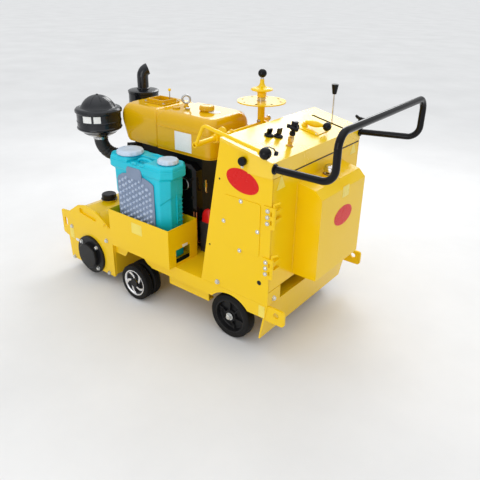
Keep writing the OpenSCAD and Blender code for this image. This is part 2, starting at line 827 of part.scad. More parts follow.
module hopper_fittings() {
    color(dark_yellow) translate([0, hopper_y, hopper_top_z]) {
        // Open frame of the water filler
        translate([frame_x, 0, 0]) difference() {
            union() {
                translate([0, -frame_w / 2, 0]) cube([frame_l, frame_w, 20]);
                translate([-12, -frame_w / 2 - 12, 0]) cube([frame_l + 24, frame_w + 24, 5]);
            }
            translate([8, -frame_w / 2 + 8, 5]) cube([frame_l - 16, frame_w - 16, 20]);
        }
        // Fuel cap and drain plug
        translate([engine_x + 62, 0, 0]) ribbed_cap(37, 34);
        translate([engine_x + 216, 60, 0]) cylinder(h = 8, r = 20, $fn = 48);
        // Lifting eye
        translate([engine_x + 202, 0, 0]) {
            cylinder(h = 16, r = 14, $fn = 48);
            translate([0, 0, 38]) rotate([90, 0, 40]) rotate_extrude($fn = 64)
                translate([20, 0]) circle(r = 5.5, $fn = 24);
        }
        // Float of the water level
        translate([frame_x + 21, -20, 5]) cylinder(h = 56, r = 3, $fn = 24);
        translate([frame_x + 21, -20, 66]) sphere(r = 8, $fn = 32);
    }
}

filter_x = engine_x + 615;
filter_y = 256;
filter_z = 811;

module air_filter() {
    color(black) translate([filter_x, filter_y, filter_z]) {
        rotate_extrude($fn = 96) polygon([
            [0, 0], [54, 0], [64, 6], [filter_r - 12, 38], [filter_r - 4, 42], [filter_r - 4, 50],
            [filter_r - 7, 54], [filter_r - 7, 128], [filter_r, 130], [filter_r, 142],
            [filter_r - 8, 150], [filter_r - 22, 152], [filter_r - 30, 158], [0, 158]]);
        intersection() {
            translate([0, 0, 117]) sphere(r = 98, $fn = 96);
            translate([-filter_r, -filter_r, 157.5]) cube([2 * filter_r, 2 * filter_r, 60]);
        }
        translate([0, 0, 213]) cylinder(h = 9, r = 8, $fn = 32);
    }
}

elbow_r = 37;
elbow_bend = 76;
elbow_turn = 233;
elbow_run = 62;
clamp_h = 12;
elbow_z = filter_z - 20;

// The end of the elbow, with X pointing on into the cylinder head
module at_elbow_end() {
    translate([filter_x, filter_y, elbow_z - elbow_bend]) rotate([0, 0, elbow_turn])
        translate([elbow_bend + elbow_run, 0, 0]) rotate([0, 90, 0]) children();
}

module intake_elbow() {
    color(black) translate([filter_x, filter_y, elbow_z]) {
        translate([0, 0, clamp_h / 2]) cylinder(h = filter_z - seat - elbow_z - clamp_h / 2, r = elbow_r, $fn = 64);
        cylinder(h = clamp_h, r = elbow_r + 3, $fn = 64);
        rotate([0, 0, elbow_turn]) translate([elbow_bend, 0, 0]) {
            rotate([90, 0, 0]) rotate([0, 0, 180])
                rotate_extrude(angle = 90, $fn = 64) translate([elbow_bend, 0]) circle(r = elbow_r, $fn = 64);
            translate([0, 0, -elbow_bend]) rotate([0, 90, 0]) {
                cylinder(h = clamp_h, r = elbow_r + 3, $fn = 64);
                translate([0, 0, clamp_h / 2]) cylinder(h = elbow_run - clamp_h / 2, r = elbow_r, $fn = 64);
            }
        }
    }
}

muffler_x = engine_x + 646;
muffler_y = -98;
muffler_z = 800;
muffler_h = 206;

module muffler() {
    color(black) translate([muffler_x, muffler_y, muffler_z]) rotate_extrude($fn = 96) polygon([
        [0, 0], [muffler_r - 24, 0], [muffler_r - 4, 10], [muffler_r, 12], [muffler_r, 18],
        [muffler_r - 3, 20], [muffler_r - 3, muffler_h - 22], [muffler_r, muffler_h - 20],
        [muffler_r, muffler_h - 10], [muffler_r - 6, muffler_h - 6], [pipe_r + 12, muffler_h], [0, muffler_h]]);
    // Exhaust manifold from the cylinder head up into the muffler
    color(black) translate([head_x, muffler_y - 30, muffler_z - 150]) cube([muffler_x - head_x + 30, 90, 50]);
    color(black) translate([muffler_x, muffler_y, muffler_z - 100]) cylinder(h = 101, r = 30, $fn = 64);
}

pipe_bend = 46;
pipe_z = muffler_z + muffler_h;
pipe_h = 66;
pipe_turn = 217;
pipe_sweep = 58;
pipe_wall = 2.5;

module ring_2d(r, wall) {
    difference() {
        circle(r = r, $fn = 64);
        circle(r = r - wall, $fn = 64);
    }
}

module exhaust_pipe() {
    color(black) translate([muffler_x, muffler_y, pipe_z]) {
        cylinder(h = pipe_h - clamp_h / 2, r = pipe_r, $fn = 64);
        translate([0, 0, pipe_h - clamp_h]) cylinder(h = clamp_h, r = pipe_r + 3, $fn = 64);
        translate([0, 0, pipe_h]) rotate([0, 0, pipe_turn]) translate([pipe_bend, 0, 0])
            rotate([90, 0, 0]) rotate([0, 0, 180 - pipe_sweep])
            rotate_extrude(angle = pipe_sweep, $fn = 64) translate([pipe_bend, 0]) ring_2d(pipe_r, pipe_wall);
    }
}

battery_y = 34;

module battery() {
    color(black) translate([battery_x, battery_y, deck_z]) {
        cube([battery_l, battery_w, battery_h - 34]);
        translate([-2, -2, battery_h - 34]) cube([battery_l + 4, battery_w + 4, 34]);
    }
}

module battery_cap() {
    color("red") translate([battery_x + battery_l - 74, battery_y + battery_w - 44, deck_z + battery_h]) hull() {
        cube([58, 36, 4]);
        translate([6, 5, 4]) cube([46, 26, 26]);
    }
}

guard_y0 = -half_w + 22;
guard_y1 = guard_y0 + 84;
guard_t = 3;

module guard_profile(inset) {
    difference() {
        hull() {
            translate([engine_x + 110, deck_z + 275]) circle(r = 150 - inset, $fn = 64);
            translate([drum_x, drum_z + 60]) circle(r = 110 - inset, $fn = 64);
        }
        square([chamber_x + 1, deck_z + seat + inset]);
        offset(delta = seat + inset) chamber_profile(0, 0);
        translate([chamber_x, 0]) square([400, drum_z + 180]);
    }
}

module belt_guard() {
    color(yellow) difference() {
        across(guard_y0, guard_y1) guard_profile(0);
        across(guard_y0 + guard_t, guard_y1 + 1) guard_profile(guard_t);
    }
}

// Cabinet

lid_slope = (lid_front_z - lid_rear_z) / (panel_head_x - cabinet_rear_x);
lid_t = 4;
lid_lip = 14;
lid_over = 3;
function lid_z(x) = lid_rear_z + (x - cabinet_rear_x) * lid_slope;
panel_foot_z = deck_z + seat;
panel_rear_x = cabinet_rear_x + door_fold + door_gap;
panel_front_slope = (panel_foot_x - panel_head_x) / (lid_front_z - deck_z);
function front_x_at(z) = panel_foot_x - (z - deck_z) * panel_front_slope;

module panel_profile() {
    top_gap = lid_t + seat;
    polygon([
        [cabinet_rear_x, panel_foot_z], [front_x_at(panel_foot_z), panel_foot_z],
        [front_x_at(lid_front_z - lid_lip - seat), lid_front_z - lid_lip - seat],
        [panel_head_x - lid_t - seat, lid_front_z - lid_lip - seat],
        [panel_head_x - lid_t - seat, lid_z(panel_head_x - lid_t - seat) - top_gap],
        [cabinet_rear_x + sheet_t + seat, lid_z(cabinet_rear_x + sheet_t) - top_gap],
        [cabinet_rear_x + sheet_t + seat, lip_z - 1],
        [cabinet_rear_x, lip_z - 1]]);
}

cover_x0 = 61;
cover_x1 = 254;
cover_z0 = 508;
cover_z1 = 750;
hand_t = 3;

module side_panel() {
    difference() {
        union() {
            across(half_w - sheet_t, half_w) panel_profile();
            // Folded post beside the door, and its foot plate
            translate([panel_rear_x, half_w - sheet_t - 30, panel_foot_z])
                cube([sheet_t, 30, lip_z - panel_foot_z - 10]);
            translate([cabinet_rear_x, half_w - sheet_t - 96, panel_foot_z])
                cube([sheet_t, 96, door_foot_z - panel_foot_z - 3]);
        }
        bar_y(57, 381, 8, half_w - 20, half_w + 20);
    }
}

module panel_left() {
    color(yellow) difference() {
        side_panel();
        across(half_w - 10, half_w + 1) round_rect([cover_x0 + 14, cover_z0 + 14], [cover_x1 - 14, cover_z1 - 14], 8);
    }
}

module panel_right() {
    color(yellow) mirror([0, 1, 0]) side_panel();
}

module panel_front() {
    foot = panel_foot_z;
    top = lid_front_z - lid_lip - seat;
    color(yellow) across(-half_w + sheet_t + seat, half_w - sheet_t - seat) polygon([
        [front_x_at(foot) - sheet_t, foot], [front_x_at(foot), foot],
        [front_x_at(top), top], [front_x_at(top) - sheet_t, top]]);
}

module hand_cover() {
    color(yellow) across(half_w + seat, half_w + seat + hand_t)
        round_rect([cover_x0, cover_z0], [cover_x1, cover_z1], 12);
}

lid_y = half_w + seat + lid_over;
slot_y = -263;
slot_x0 = 40;
slot_x1 = 221;
slot_w = 8;

module lid() {
    color(yellow) difference() {
        union() {
            across(-lid_y, lid_y) polygon([
                [cabinet_rear_x, lid_rear_z - lid_t], [cabinet_rear_x, lid_rear_z],
                [panel_head_x, lid_front_z], [panel_head_x, lid_front_z - lid_lip],
                [panel_head_x - lid_t, lid_front_z - lid_lip], [panel_head_x - lid_t, lid_front_z - lid_t]]);
            both_sides() across(half_w + seat, lid_y) polygon([
                [cabinet_rear_x, lip_z], [cabinet_rear_x, lid_rear_z - 1], [panel_head_x, lid_front_z - 1],
                [panel_head_x, lid_front_z - lid_lip], [lip_x, lid_z(lip_x) - 12], [lip_x, lip_z]]);
            translate([cabinet_rear_x, -lid_y, lip_z]) cube([sheet_t, 2 * lid_y, lid_rear_z - lip_z - 1]);
        }
        translate([slot_x0, slot_y - slot_w / 2, lid_rear_z - 40]) cube([slot_x1 - slot_x0, slot_w, 120]);
    }
}

// Rear door on two lift-off hinges

hinge_x = cabinet_rear_x - 10;
hinge_y = half_w - 4;
hinge_r = 9;
hinge_pin_r = 5;
hinge_h = 96;
hinge_feet = [door_foot_z + 72, door_foot_z + 308];
door_left_y = half_w - sheet_t - door_gap;
door_right_y = -door_left_y;
door_top_z = lip_z - door_gap;

// Where the five knuckles of a hinge start: even ones are the fixed leaf's
knuckle_h = hinge_h / 5;

module rear_door() {
    color(yellow) {
        difference() {
            translate([cabinet_rear_x, door_right_y, door_foot_z])
                cube([door_fold, door_left_y - door_right_y, door_top_z - door_foot_z]);
            translate([cabinet_rear_x + sheet_t, door_right_y + sheet_t, door_foot_z + sheet_t])
                cube([door_fold, door_left_y - door_right_y - 2 * sheet_t,
                    door_top_z - door_foot_z - 2 * sheet_t]);
        }
        for (z = hinge_feet) for (k = [1, 3]) {
            difference() {
                union() {
                    translate([hinge_x, hinge_y, z + k * knuckle_h + seat])
                        cylinder(h = knuckle_h - 2 * seat, r = hinge_r, $fn = 48);
                    translate([hinge_x - 3, hinge_y - 60, z + k * knuckle_h + seat])
                        cube([6, 60, knuckle_h - 2 * seat]);
                }
                translate([hinge_x, hinge_y, z]) cylinder(h = hinge_h, r = hinge_pin_r + run_fit, $fn = 48);
            }
            translate([hinge_x + 3, hinge_y - 60, z + k * knuckle_h + seat])
                cube([cabinet_rear_x - hinge_x - 3, 34, knuckle_h - 2 * seat]);
        }
    }
}

module hinge_leaves() {
    color(yellow) for (z = hinge_feet) {
        for (k = [0, 2, 4]) translate([0, 0, z + k * knuckle_h]) {
            difference() {
                union() {
                    translate([hinge_x, hinge_y, 0]) cylinder(h = knuckle_h, r = hinge_r, $fn = 48);
                    translate([hinge_x, half_w + seat, 0]) cube([46, hinge_y + hinge_r - half_w - seat, knuckle_h]);
                }
                translate([hinge_x, hinge_y, -1]) cylinder(h = knuckle_h + 2, r = hinge_pin_r, $fn = 48);
            }
        }
        translate([cabinet_rear_x + 2, half_w + seat, z]) cube([34, hinge_y + hinge_r - half_w - seat, hinge_h]);
        // Lift-off pin with its bent end
        translate([hinge_x, hinge_y, z]) cylinder(h = hinge_h + 14, r = hinge_pin_r, $fn = 48);
        translate([hinge_x, hinge_y, z + hinge_h + 12]) rotate([0, -60, 0]) cylinder(h = 34, r = hinge_pin_r, $fn = 48);
    }
}

module hydraulic_tank() {
    rear = cabinet_rear_x - tank_d;
    color(yellow) across(tank_right_y, tank_left_y) polygon([
        [rear, tank_foot_z], [cabinet_rear_x, tank_foot_z], [cabinet_rear_x, tank_top_z],
        [rear + tank_chamfer, tank_top_z - tank_fall], [rear, tank_top_z - tank_fall - tank_chamfer]]);
    // Boss of the filler
    color(yellow) translate([filler_x, filler_y, filler_z - 24]) cylinder(h = 24, r = 38, $fn = 64);
}

tank_fall = 20;
filler_x = cabinet_rear_x - 53;
filler_y = -4;
filler_z = tank_top_z;

module tank_filler() {
    color(steel) translate([filler_x, filler_y, filler_z + seat]) rotate_extrude($fn = 64) polygon([
        [0, 0], [36, 0], [36, 5], [22, 7], [22, 13], [34, 15], [34, 29], [28, 38], [14, 42], [0, 42]]);
}

// Handlebar, one bent tube

leg_start_y = half_w - 6;
grip_half = half_w + 25;
grip_x = handle_end_x + bar_r;
leg_run = norm([cabinet_rear_x - grip_x, grip_half - leg_start_y]);
leg_turn = atan2(leg_start_y - grip_half, cabinet_rear_x - grip_x);
leg_fall = atan2(bar_z - bar_start_z, leg_run);
leg_bend = bar_bend * tan((90 - leg_fall) / 2);
weld_w = 8;

module tube_bend(r, a) {
    rotate_extrude(angle = a, $fn = 64) translate([bar_bend, 0]) circle(r = r, $fn = 64);
}

// One leg, flared outwards, then its bend between two dressed weld rings, its riser and the grip's bend
module handlebar_side() {
    difference() {
        translate([grip_x, grip_half, bar_z]) rotate([0, 0, leg_turn]) rotate([0, 90 + leg_fall, 0]) {
            translate([0, 0, leg_bend + 1]) cylinder(h = leg_run, r = bar_r, $fn = 64);
            translate([0, 0, leg_bend - weld_w / 2]) cylinder(h = weld_w, r = bar_r + 0.8, $fn = 64);
        }
        translate([cabinet_rear_x, 0, bar_z - 100]) cube([200, 600, 200]);
    }
    translate([grip_x, grip_half, bar_z + leg_bend]) rotate([0, 0, leg_turn]) translate([bar_bend, 0, 0])
        rotate([90, 0, 0]) rotate([0, 0, 180]) tube_bend(bar_r, 90 - leg_fall);
    translate([grip_x, grip_half, bar_z + leg_bend - weld_w / 2]) cylinder(h = weld_w, r = bar_r + 0.8, $fn = 64);
    translate([grip_x, grip_half, bar_z + leg_bend + 1])
        cylinder(h = bar_rise - leg_bend - bar_bend - 1, r = bar_r, $fn = 64);
    translate([grip_x, grip_half - bar_bend, bar_z + bar_rise - bar_bend]) rotate([0, -90, 0]) tube_bend(bar_r, 90);
}

module handlebar() {
    color(black) {
        both_sides() handlebar_side();
        bar_y(grip_x, bar_z + bar_rise, bar_r, -grip_half + bar_bend, grip_half - bar_bend);
    }
}

// Depth screw, index disc and crank

clutch_x = column_x - 5;
clutch_z = lid_front_z - 61;
clutch_r = 11;

module depth_column() {
    color(yellow) difference() {
        union() {
            translate([column_x, column_y, deck_z]) cylinder(h = disc_z - deck_z, r = column_r, $fn = 64);
            translate([column_x, column_y, deck_z]) cylinder(h = 10, r = column_r + 8, $fn = 64);
            translate([column_x, column_y, disc_z]) cylinder(h = 6, r = disc_r, $fn = 96);
        }
        for (i = [0 : 7]) translate([column_x, column_y, disc_z - 1]) rotate([0, 0, i * 45 + 20])
            translate([disc_r - 24, 0, 0]) cylinder(h = 8, r = 5, $fn = 32);
        bar_y(clutch_x, clutch_z, clutch_r + seat, column_y - 30, column_y + 30);
    }
    color(steel) translate([column_x, column_y, 96]) cylinder(h = deck_z - 96, r = screw_r, $fn = 48);
}

module depth_crank() {
    color(yellow) translate([column_x, column_y, disc_z + 6]) {
        rotate_extrude($fn = 72) polygon([
            [0, 0], [20, 0], [20, 12], [16, 14], [20, 18], [22, 20], [22, 40], [30, 46], [50, 50],
            [54, 54], [52, 58], [40, 62], [24, 70], [14, 82], [12, 104], [8, 106], [8, 116], [0, 116]]);
        translate([0, 0, 130]) sphere(r = 21, $fn = 64);
    }
}

lever_y = half_w - 4;
ball_r = 25;
lever_r = 8;
lever_knee = [clutch_x - 43, clutch_z + 89];
lever_ball = [cabinet_rear_x + 38, lid_z(cabinet_rear_x + 38) + ball_r + 1];

// A straight round bar between two points of the X and Z plane
module rod_xz(a, b, y, r) {
    d = b - a;
    translate([a[0], y, a[1]]) rotate([0, atan2(d[0], d[1]), 0]) cylinder(h = norm(d), r = r, $fn = 48);
}

module clutch_lever() {
    color(yellow) {
        bar_y(clutch_x, clutch_z, clutch_r, column_y - 48, lever_y + 16);
        rod_xz([clutch_x, clutch_z], lever_knee, lever_y + 4, lever_r);
        translate([lever_knee[0], lever_y + 4, lever_knee[1]]) rotate([0, 0, 90]) sphere(r = lever_r + 1.5, $fn = 48);
        rod_xz(lever_knee, lever_ball, lever_y + 4, lever_r);
        translate([lever_ball[0], lever_y + 4, lever_ball[1]]) rotate([0, 0, 90]) sphere(r = ball_r, $fn = 64);
        // Bracket that carries the cross tube on the cabinet
        across(half_w - 60, half_w - 52) hull() {
            translate([clutch_x, clutch_z]) circle(r = 24, $fn = 32);
            translate([front_x_at(lid_front_z) + 26, lid_front_z + 2]) circle(r = 18, $fn = 32);
            translate([front_x_at(clutch_z - 40) + 1, clutch_z - 40]) square([4, 60]);
        }
    }
}

valve_x = cabinet_rear_x + 100;

module console_levers() {
    // Long travel lever in its slot
    color(steel) translate([valve_x, slot_y, lid_z(valve_x) - 60]) cylinder(h = 200, r = 3.5, $fn = 32);
    color(black) translate([valve_x, slot_y, lid_z(valve_x) + 140]) cylinder(h = 46, r1 = 9, r2 = 17, $fn = 48);
    // Short yellow lever on its plate
    color(yellow) translate([64, -152, 0]) {
        lever_plate();
    }
}

module lever_plate() {
    tilt = atan(lid_slope);
    translate([0, 0, lid_z(64) + 0.5]) rotate([0, -tilt, 0]) {
        cube([120, 108, 3]);
        translate([96, 60, 3]) cylinder(h = 30, r = 9, $fn = 48);
        translate([96, 60, 28]) rotate([0, -86, 12]) cylinder(h = 104, r = 6, $fn = 48);
        translate([-6, 40, 34]) rotate([0, 0, 180]) sphere(r = 21, $fn = 48);
    }
}

module console_knobs() {
    tilt = atan(lid_slope);
    color(black) for (p = [[179, 167, 16, 22], [151, 135, 14, 26], [112, 100, 18, 40]])
        translate([p[0], p[1], lid_z(p[0]) + 0.5]) rotate([0, -tilt, 0]) {
            cylinder(h = 8, r = p[2] + 4, $fn = 48);
            translate([-4, -p[2], 0]) cube([8, 2 * p[2], p[3]]);
        }
    color(steel) translate([73, 164, lid_z(73) + 0.5]) rotate([0, -tilt, 0]) rotate_extrude($fn = 48)
        polygon([[0, 0], [16, 0], [16, 5], [10, 6], [10, 22], [7, 24], [7, 34], [0, 34]]);
    // Side knobs
    color(black) bar_y(156, 914, 22, half_w + seat, half_w + 24);
    color(black) mirror([0, 1, 0]) bar_y(60, 905, 22, half_w + lid_over + 2 * seat, half_w + 30);
}

module place() {
    translate([-mid_x, 0, 0]) children();
}

place() deck_frame();
place() rear_beam();
place() plate_left();
place() plate_right();
place() drum_hood();
place() hood_cap();
place() drum_bearings();
place() drum_axle();
place() drum_pulley();
place() drum_shell();
place() drum_picks();
place() axle_arm();
place() tyres_front_left();
place() rims_front_left();
place() tyres_front_right();
place() rims_front_right();
place() rear_axle();
place() tyre_rear_left();
place() hub_rear_left();
place() tyre_rear_right();
place() hub_rear_right();
place() water_box();
place() water_tank();
place() tank_pad();
place() tank_caps();
place() crankcase();
place() timing_cover();
place() hopper();
place() hopper_fittings();
place() air_filter();
place() intake_elbow();
place() muffler();
place() exhaust_pipe();
place() battery();
place() battery_cap();
place() belt_guard();
place() panel_left();
place() panel_right();
place() panel_front();
place() lid();
place() hand_cover();
place() rear_door();
place() hinge_leaves();
place() hydraulic_tank();
place() tank_filler();
place() handlebar();
place() depth_column();
place() depth_crank();
place() clutch_lever();
place() console_levers();
place() console_knobs();
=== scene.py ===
# Walk-behind cold planer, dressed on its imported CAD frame, from the ground up.
# Places in the lists are millimetres forward of the rear reference plane, to the left of the
# middle and above the ground, as in the part's source; at() turns them into the frame's metres.
import bpy
import bmesh
import math
import random
from mathutils import Matrix, Vector


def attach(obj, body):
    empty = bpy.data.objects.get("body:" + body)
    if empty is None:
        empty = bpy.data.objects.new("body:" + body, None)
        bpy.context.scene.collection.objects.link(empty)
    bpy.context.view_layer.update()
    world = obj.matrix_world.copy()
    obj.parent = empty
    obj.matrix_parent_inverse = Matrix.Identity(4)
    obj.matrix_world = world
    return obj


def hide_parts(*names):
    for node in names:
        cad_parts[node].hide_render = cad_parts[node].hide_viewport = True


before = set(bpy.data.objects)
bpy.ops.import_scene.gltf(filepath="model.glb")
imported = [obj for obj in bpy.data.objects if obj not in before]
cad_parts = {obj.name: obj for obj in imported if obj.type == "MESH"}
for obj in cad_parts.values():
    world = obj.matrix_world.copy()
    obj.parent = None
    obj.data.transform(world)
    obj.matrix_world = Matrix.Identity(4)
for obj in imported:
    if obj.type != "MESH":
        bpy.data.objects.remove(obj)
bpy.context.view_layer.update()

# The view and the yard: the machine stands on a pale concrete forecourt and is seen from its
# left rear, a little above, under a bright open sky that whitens the lid.
CAMERA_AT = (-1.6636, 2.0040, 1.5797)
CAMERA_YAW = math.radians(-52.16)
CAMERA_PITCH = math.radians(-24.89)
CAMERA_ROLL = math.radians(0.82)

look = Vector((math.cos(CAMERA_PITCH) * math.cos(CAMERA_YAW),
               math.cos(CAMERA_PITCH) * math.sin(CAMERA_YAW), math.sin(CAMERA_PITCH)))
level = look.cross(Vector((0, 0, 1))).normalized()
over = level.cross(look)
right = math.cos(CAMERA_ROLL) * level + math.sin(CAMERA_ROLL) * over
up = math.cos(CAMERA_ROLL) * over - math.sin(CAMERA_ROLL) * level
lens = bpy.data.cameras.new("view")
lens.lens = 39.55
lens.sensor_width = 36
lens.shift_x = 0.00896
lens.shift_y = -0.0323
camera = bpy.data.objects.new("view", lens)
turn = Matrix((right, up, -look)).transposed().to_4x4()
camera.matrix_world = Matrix.Translation(CAMERA_AT) @ turn
bpy.context.collection.objects.link(camera)
bpy.context.scene.camera = camera
bpy.context.scene.view_settings.view_transform = "Standard"


def add_node(tree, kind, feeds=(), **settings):
    """Adds a node with its settings, and feeds its inputs with numbers or with the outputs of
    other nodes."""
    node = tree.nodes.new(kind)
    for name, value in settings.items():
        setattr(node, name, value)
    for name, value in dict(feeds).items():
        if isinstance(value, bpy.types.NodeSocket):
            tree.links.new(value, node.inputs[name])
        else:
            node.inputs[name].default_value = value
    return node


sky = bpy.data.worlds.new("open_sky")
sky.use_nodes = True
way_out = add_node(sky.node_tree, "ShaderNodeTexCoord").outputs["Generated"]
height = add_node(sky.node_tree, "ShaderNodeSeparateXYZ", {"Vector": way_out})
rise = add_node(sky.node_tree, "ShaderNodeMath", {0: height.outputs["Z"], 1: 2.5},
                operation="POWER", use_clamp=True)
brightness = add_node(sky.node_tree, "ShaderNodeMapRange",
                      {"Value": rise.outputs["Value"], "To Min": 0.60, "To Max": 1.60})
background = sky.node_tree.nodes["Background"]
background.inputs["Color"].default_value = (0.96, 0.98, 1.0, 1)
sky.node_tree.links.new(brightness.outputs["Result"], background.inputs["Strength"])
bpy.context.scene.world = sky


def hang_light(name, place, aim, size, power):
    """A soft white panel at place, turned to aim."""
    panel = bpy.data.lights.new(name, "AREA")
    panel.size = size
    panel.energy = power
    stand = bpy.data.objects.new(name, panel)
    stand.location = place
    stand.rotation_euler = (Vector(aim) - Vector(place)).to_track_quat("-Z", "Y").to_euler()
    bpy.context.collection.objects.link(stand)


hang_light("sky_beyond", (1.3, -2.4, 2.8), (-0.35, 0.25, 0.98), 1.3, 30)
hang_light("sky_over_lid", (0.35, -2.6, 2.15), (-0.5, -0.2, 0.95), 1.0, 11)
hang_light("sky_ahead", (2.6, -3.4, 2.3), (0.2, 0, 0.98), 1.3, 11)
hang_light("sky_left", (-0.8, 4.6, 1.7), (0, 0, 0.7), 2.6, 42)

ROAD_DUST = (0.42, 0.38, 0.32, 1)
DUST_LOW, DUST_HIGH = 0.02, 0.34


def grown_finish(name, light, dark, patch, rough, grain, relief, metal=0.0, coat=0.0, dust=0.0,
                 shine=0.5):
    """A finish whose colour drifts from light to dark in patches (metres) and whose surface has
    a fine grain (metres) standing relief high, with road dust that thins out above the ground."""
    material = bpy.data.materials.new(name)
    material.use_nodes = True
    tree = material.node_tree
    place = add_node(tree, "ShaderNodeTexCoord").outputs["Object"]
    drift = add_node(tree, "ShaderNodeTexNoise",
                     {"Vector": place, "Scale": 1 / patch, "Detail": 5, "Roughness": 0.6})
    spread = add_node(tree, "ShaderNodeMapRange",
                      {"Value": drift.outputs["Fac"], "From Min": 0.32, "From Max": 0.68})
    spread = spread.outputs["Result"]
    colour = add_node(tree, "ShaderNodeMix",
                      {"Factor": spread, "A": (*light, 1), "B": (*dark, 1)},
                      data_type="RGBA").outputs["Result"]
    gloss = add_node(tree, "ShaderNodeMapRange",
                     {"Value": spread, "To Min": rough[0], "To Max": rough[1]}).outputs["Result"]
    fine = add_node(tree, "ShaderNodeTexNoise", {"Vector": place, "Scale": 1 / grain, "Detail": 3})
    bump = add_node(tree, "ShaderNodeBump",
                    {"Height": fine.outputs["Fac"], "Strength": 0.6, "Distance": relief})
    if dust:
        above = add_node(tree, "ShaderNodeSeparateXYZ", {"Vector": place})
        settled = add_node(tree, "ShaderNodeMapRange",
                           {"Value": above.outputs["Z"], "From Min": DUST_LOW,
                            "From Max": DUST_HIGH, "To Min": dust, "To Max": 0})
        blown = add_node(tree, "ShaderNodeTexNoise",
                         {"Vector": place, "Scale": 28, "Detail": 6, "Roughness": 0.7})
        amount = add_node(tree, "ShaderNodeMath",
                          {0: settled.outputs["Result"], 1: blown.outputs["Fac"]},
                          operation="MULTIPLY").outputs["Value"]
        colour = add_node(tree, "ShaderNodeMix", {"Factor": amount, "A": colour, "B": ROAD_DUST},
                          data_type="RGBA").outputs["Result"]
        gloss = add_node(tree, "ShaderNodeMix",
                         {"Factor": amount, "A": gloss, "B": 0.9}).outputs["Result"]
    shader = tree.nodes["Principled BSDF"].inputs
    shader["Metallic"].default_value = metal
    shader["Coat Weight"].default_value = coat
    shader["Coat Roughness"].default_value = 0.06
    shader["Specular IOR Level"].default_value = shine
    tree.links.new(bump.outputs["Normal"], shader["Normal"])
    tree.links.new(colour, shader["Base Color"])
    tree.links.new(gloss, shader["Roughness"])
    return material


YARD = 150
concrete = grown_finish("concrete", (0.80, 0.795, 0.79), (0.74, 0.735, 0.73), 0.9, (0.85, 0.95),
                        0.006, 0.0005, shine=0.2)
forecourt = bpy.data.meshes.new("forecourt")
forecourt.from_pydata([(-YARD, -YARD, 0), (YARD, -YARD, 0), (YARD, YARD, 0), (-YARD, YARD, 0)],
                      [], [(0, 1, 2, 3)])
forecourt.materials.append(concrete)
yard = bpy.data.objects.new("forecourt", forecourt)
bpy.context.collection.objects.link(yard)

# The chassis: a deck of folded and welded plate with skirts, a sloping beam of plate behind with
# two lifting ears, all sprayed in one glossy chrome yellow.
MID_X = 588.5
SIDE_Y = 376

yellow = grown_finish("yellow_paint", (0.93, 0.60, 0.002), (0.91, 0.58, 0.002), 0.5, (0.20, 0.25),
                      0.0016, 0.00003, dust=0.12, shine=0.34)


def at(x, y, z):
    """Millimetres of the lists to metres of the frame."""
    return Vector(((x - MID_X) / 1000, y / 1000, z / 1000))


def ease(piece, width, limit=32):
    """Rounds a piece's sharp edges by width and keeps its flat faces flat to the light; with no
    width it only parts the light at its edges."""
    for face in piece.data.polygons:
        face.use_smooth = True
    if width:
        edge = piece.modifiers.new("eased_edge", "BEVEL")
        edge.width = width
        edge.segments = 2
        edge.limit_method = "ANGLE"
        edge.angle_limit = math.radians(limit)
        edge.use_clamp_overlap = True
        shade = piece.modifiers.new("flat_faces", "WEIGHTED_NORMAL")
        shade.keep_sharp = False
    else:
        crisp = piece.modifiers.new("crisp_edge", "EDGE_SPLIT")
        crisp.split_angle = math.radians(limit)


def dress(node, finish, width=0.0009, limit=32):
    """Gives a frame node its finish and eased edges, and leaves its mesh as it is."""
    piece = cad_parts[node]
    piece.data.materials.clear()
    piece.data.materials.append(finish)
    weld = piece.modifiers.new("weld", "WELD")
    weld.merge_threshold = 0.00001
    if width:
        flat = piece.modifiers.new("flat", "DECIMATE")
        flat.decimate_type = "DISSOLVE"
        flat.angle_limit = math.radians(0.3)
    ease(piece, width, limit)


for node in ("deck_frame", "rear_beam"):
    dress(node, yellow)

# The bolts of the chassis: zinc-plated hexagon heads on washers, set in fields on the skirts, the
# drum's side plates and the rear beam by one maker, which also sets the screws further on.
zinc = grown_finish("zinc_plate", (0.82, 0.82, 0.80), (0.60, 0.61, 0.60), 0.012, (0.18, 0.36),
                    0.0008, 0.00005, metal=1.0)


def new_maker(name, sizes):
    """An empty tree of Geometry Nodes that takes points, named sizes and a finish."""
    tree = bpy.data.node_groups.new(name, "GeometryNodeTree")
    for size, kind in (("Geometry", "Geometry"), *sizes, ("Finish", "Material")):
        tree.interface.new_socket(size, in_out="INPUT", socket_type="NodeSocket" + kind)
    tree.interface.new_socket("Geometry", in_out="OUTPUT", socket_type="NodeSocketGeometry")
    return tree, tree.nodes.new("NodeGroupInput").outputs


def end_maker(tree, shape, finish):
    """Gives the tree's shape its finish and sends it out."""
    paint = add_node(tree, "GeometryNodeSetMaterial", {"Geometry": shape, "Material": finish})
    add_node(tree, "NodeGroupOutput", {"Geometry": paint.outputs["Geometry"]})
    return tree


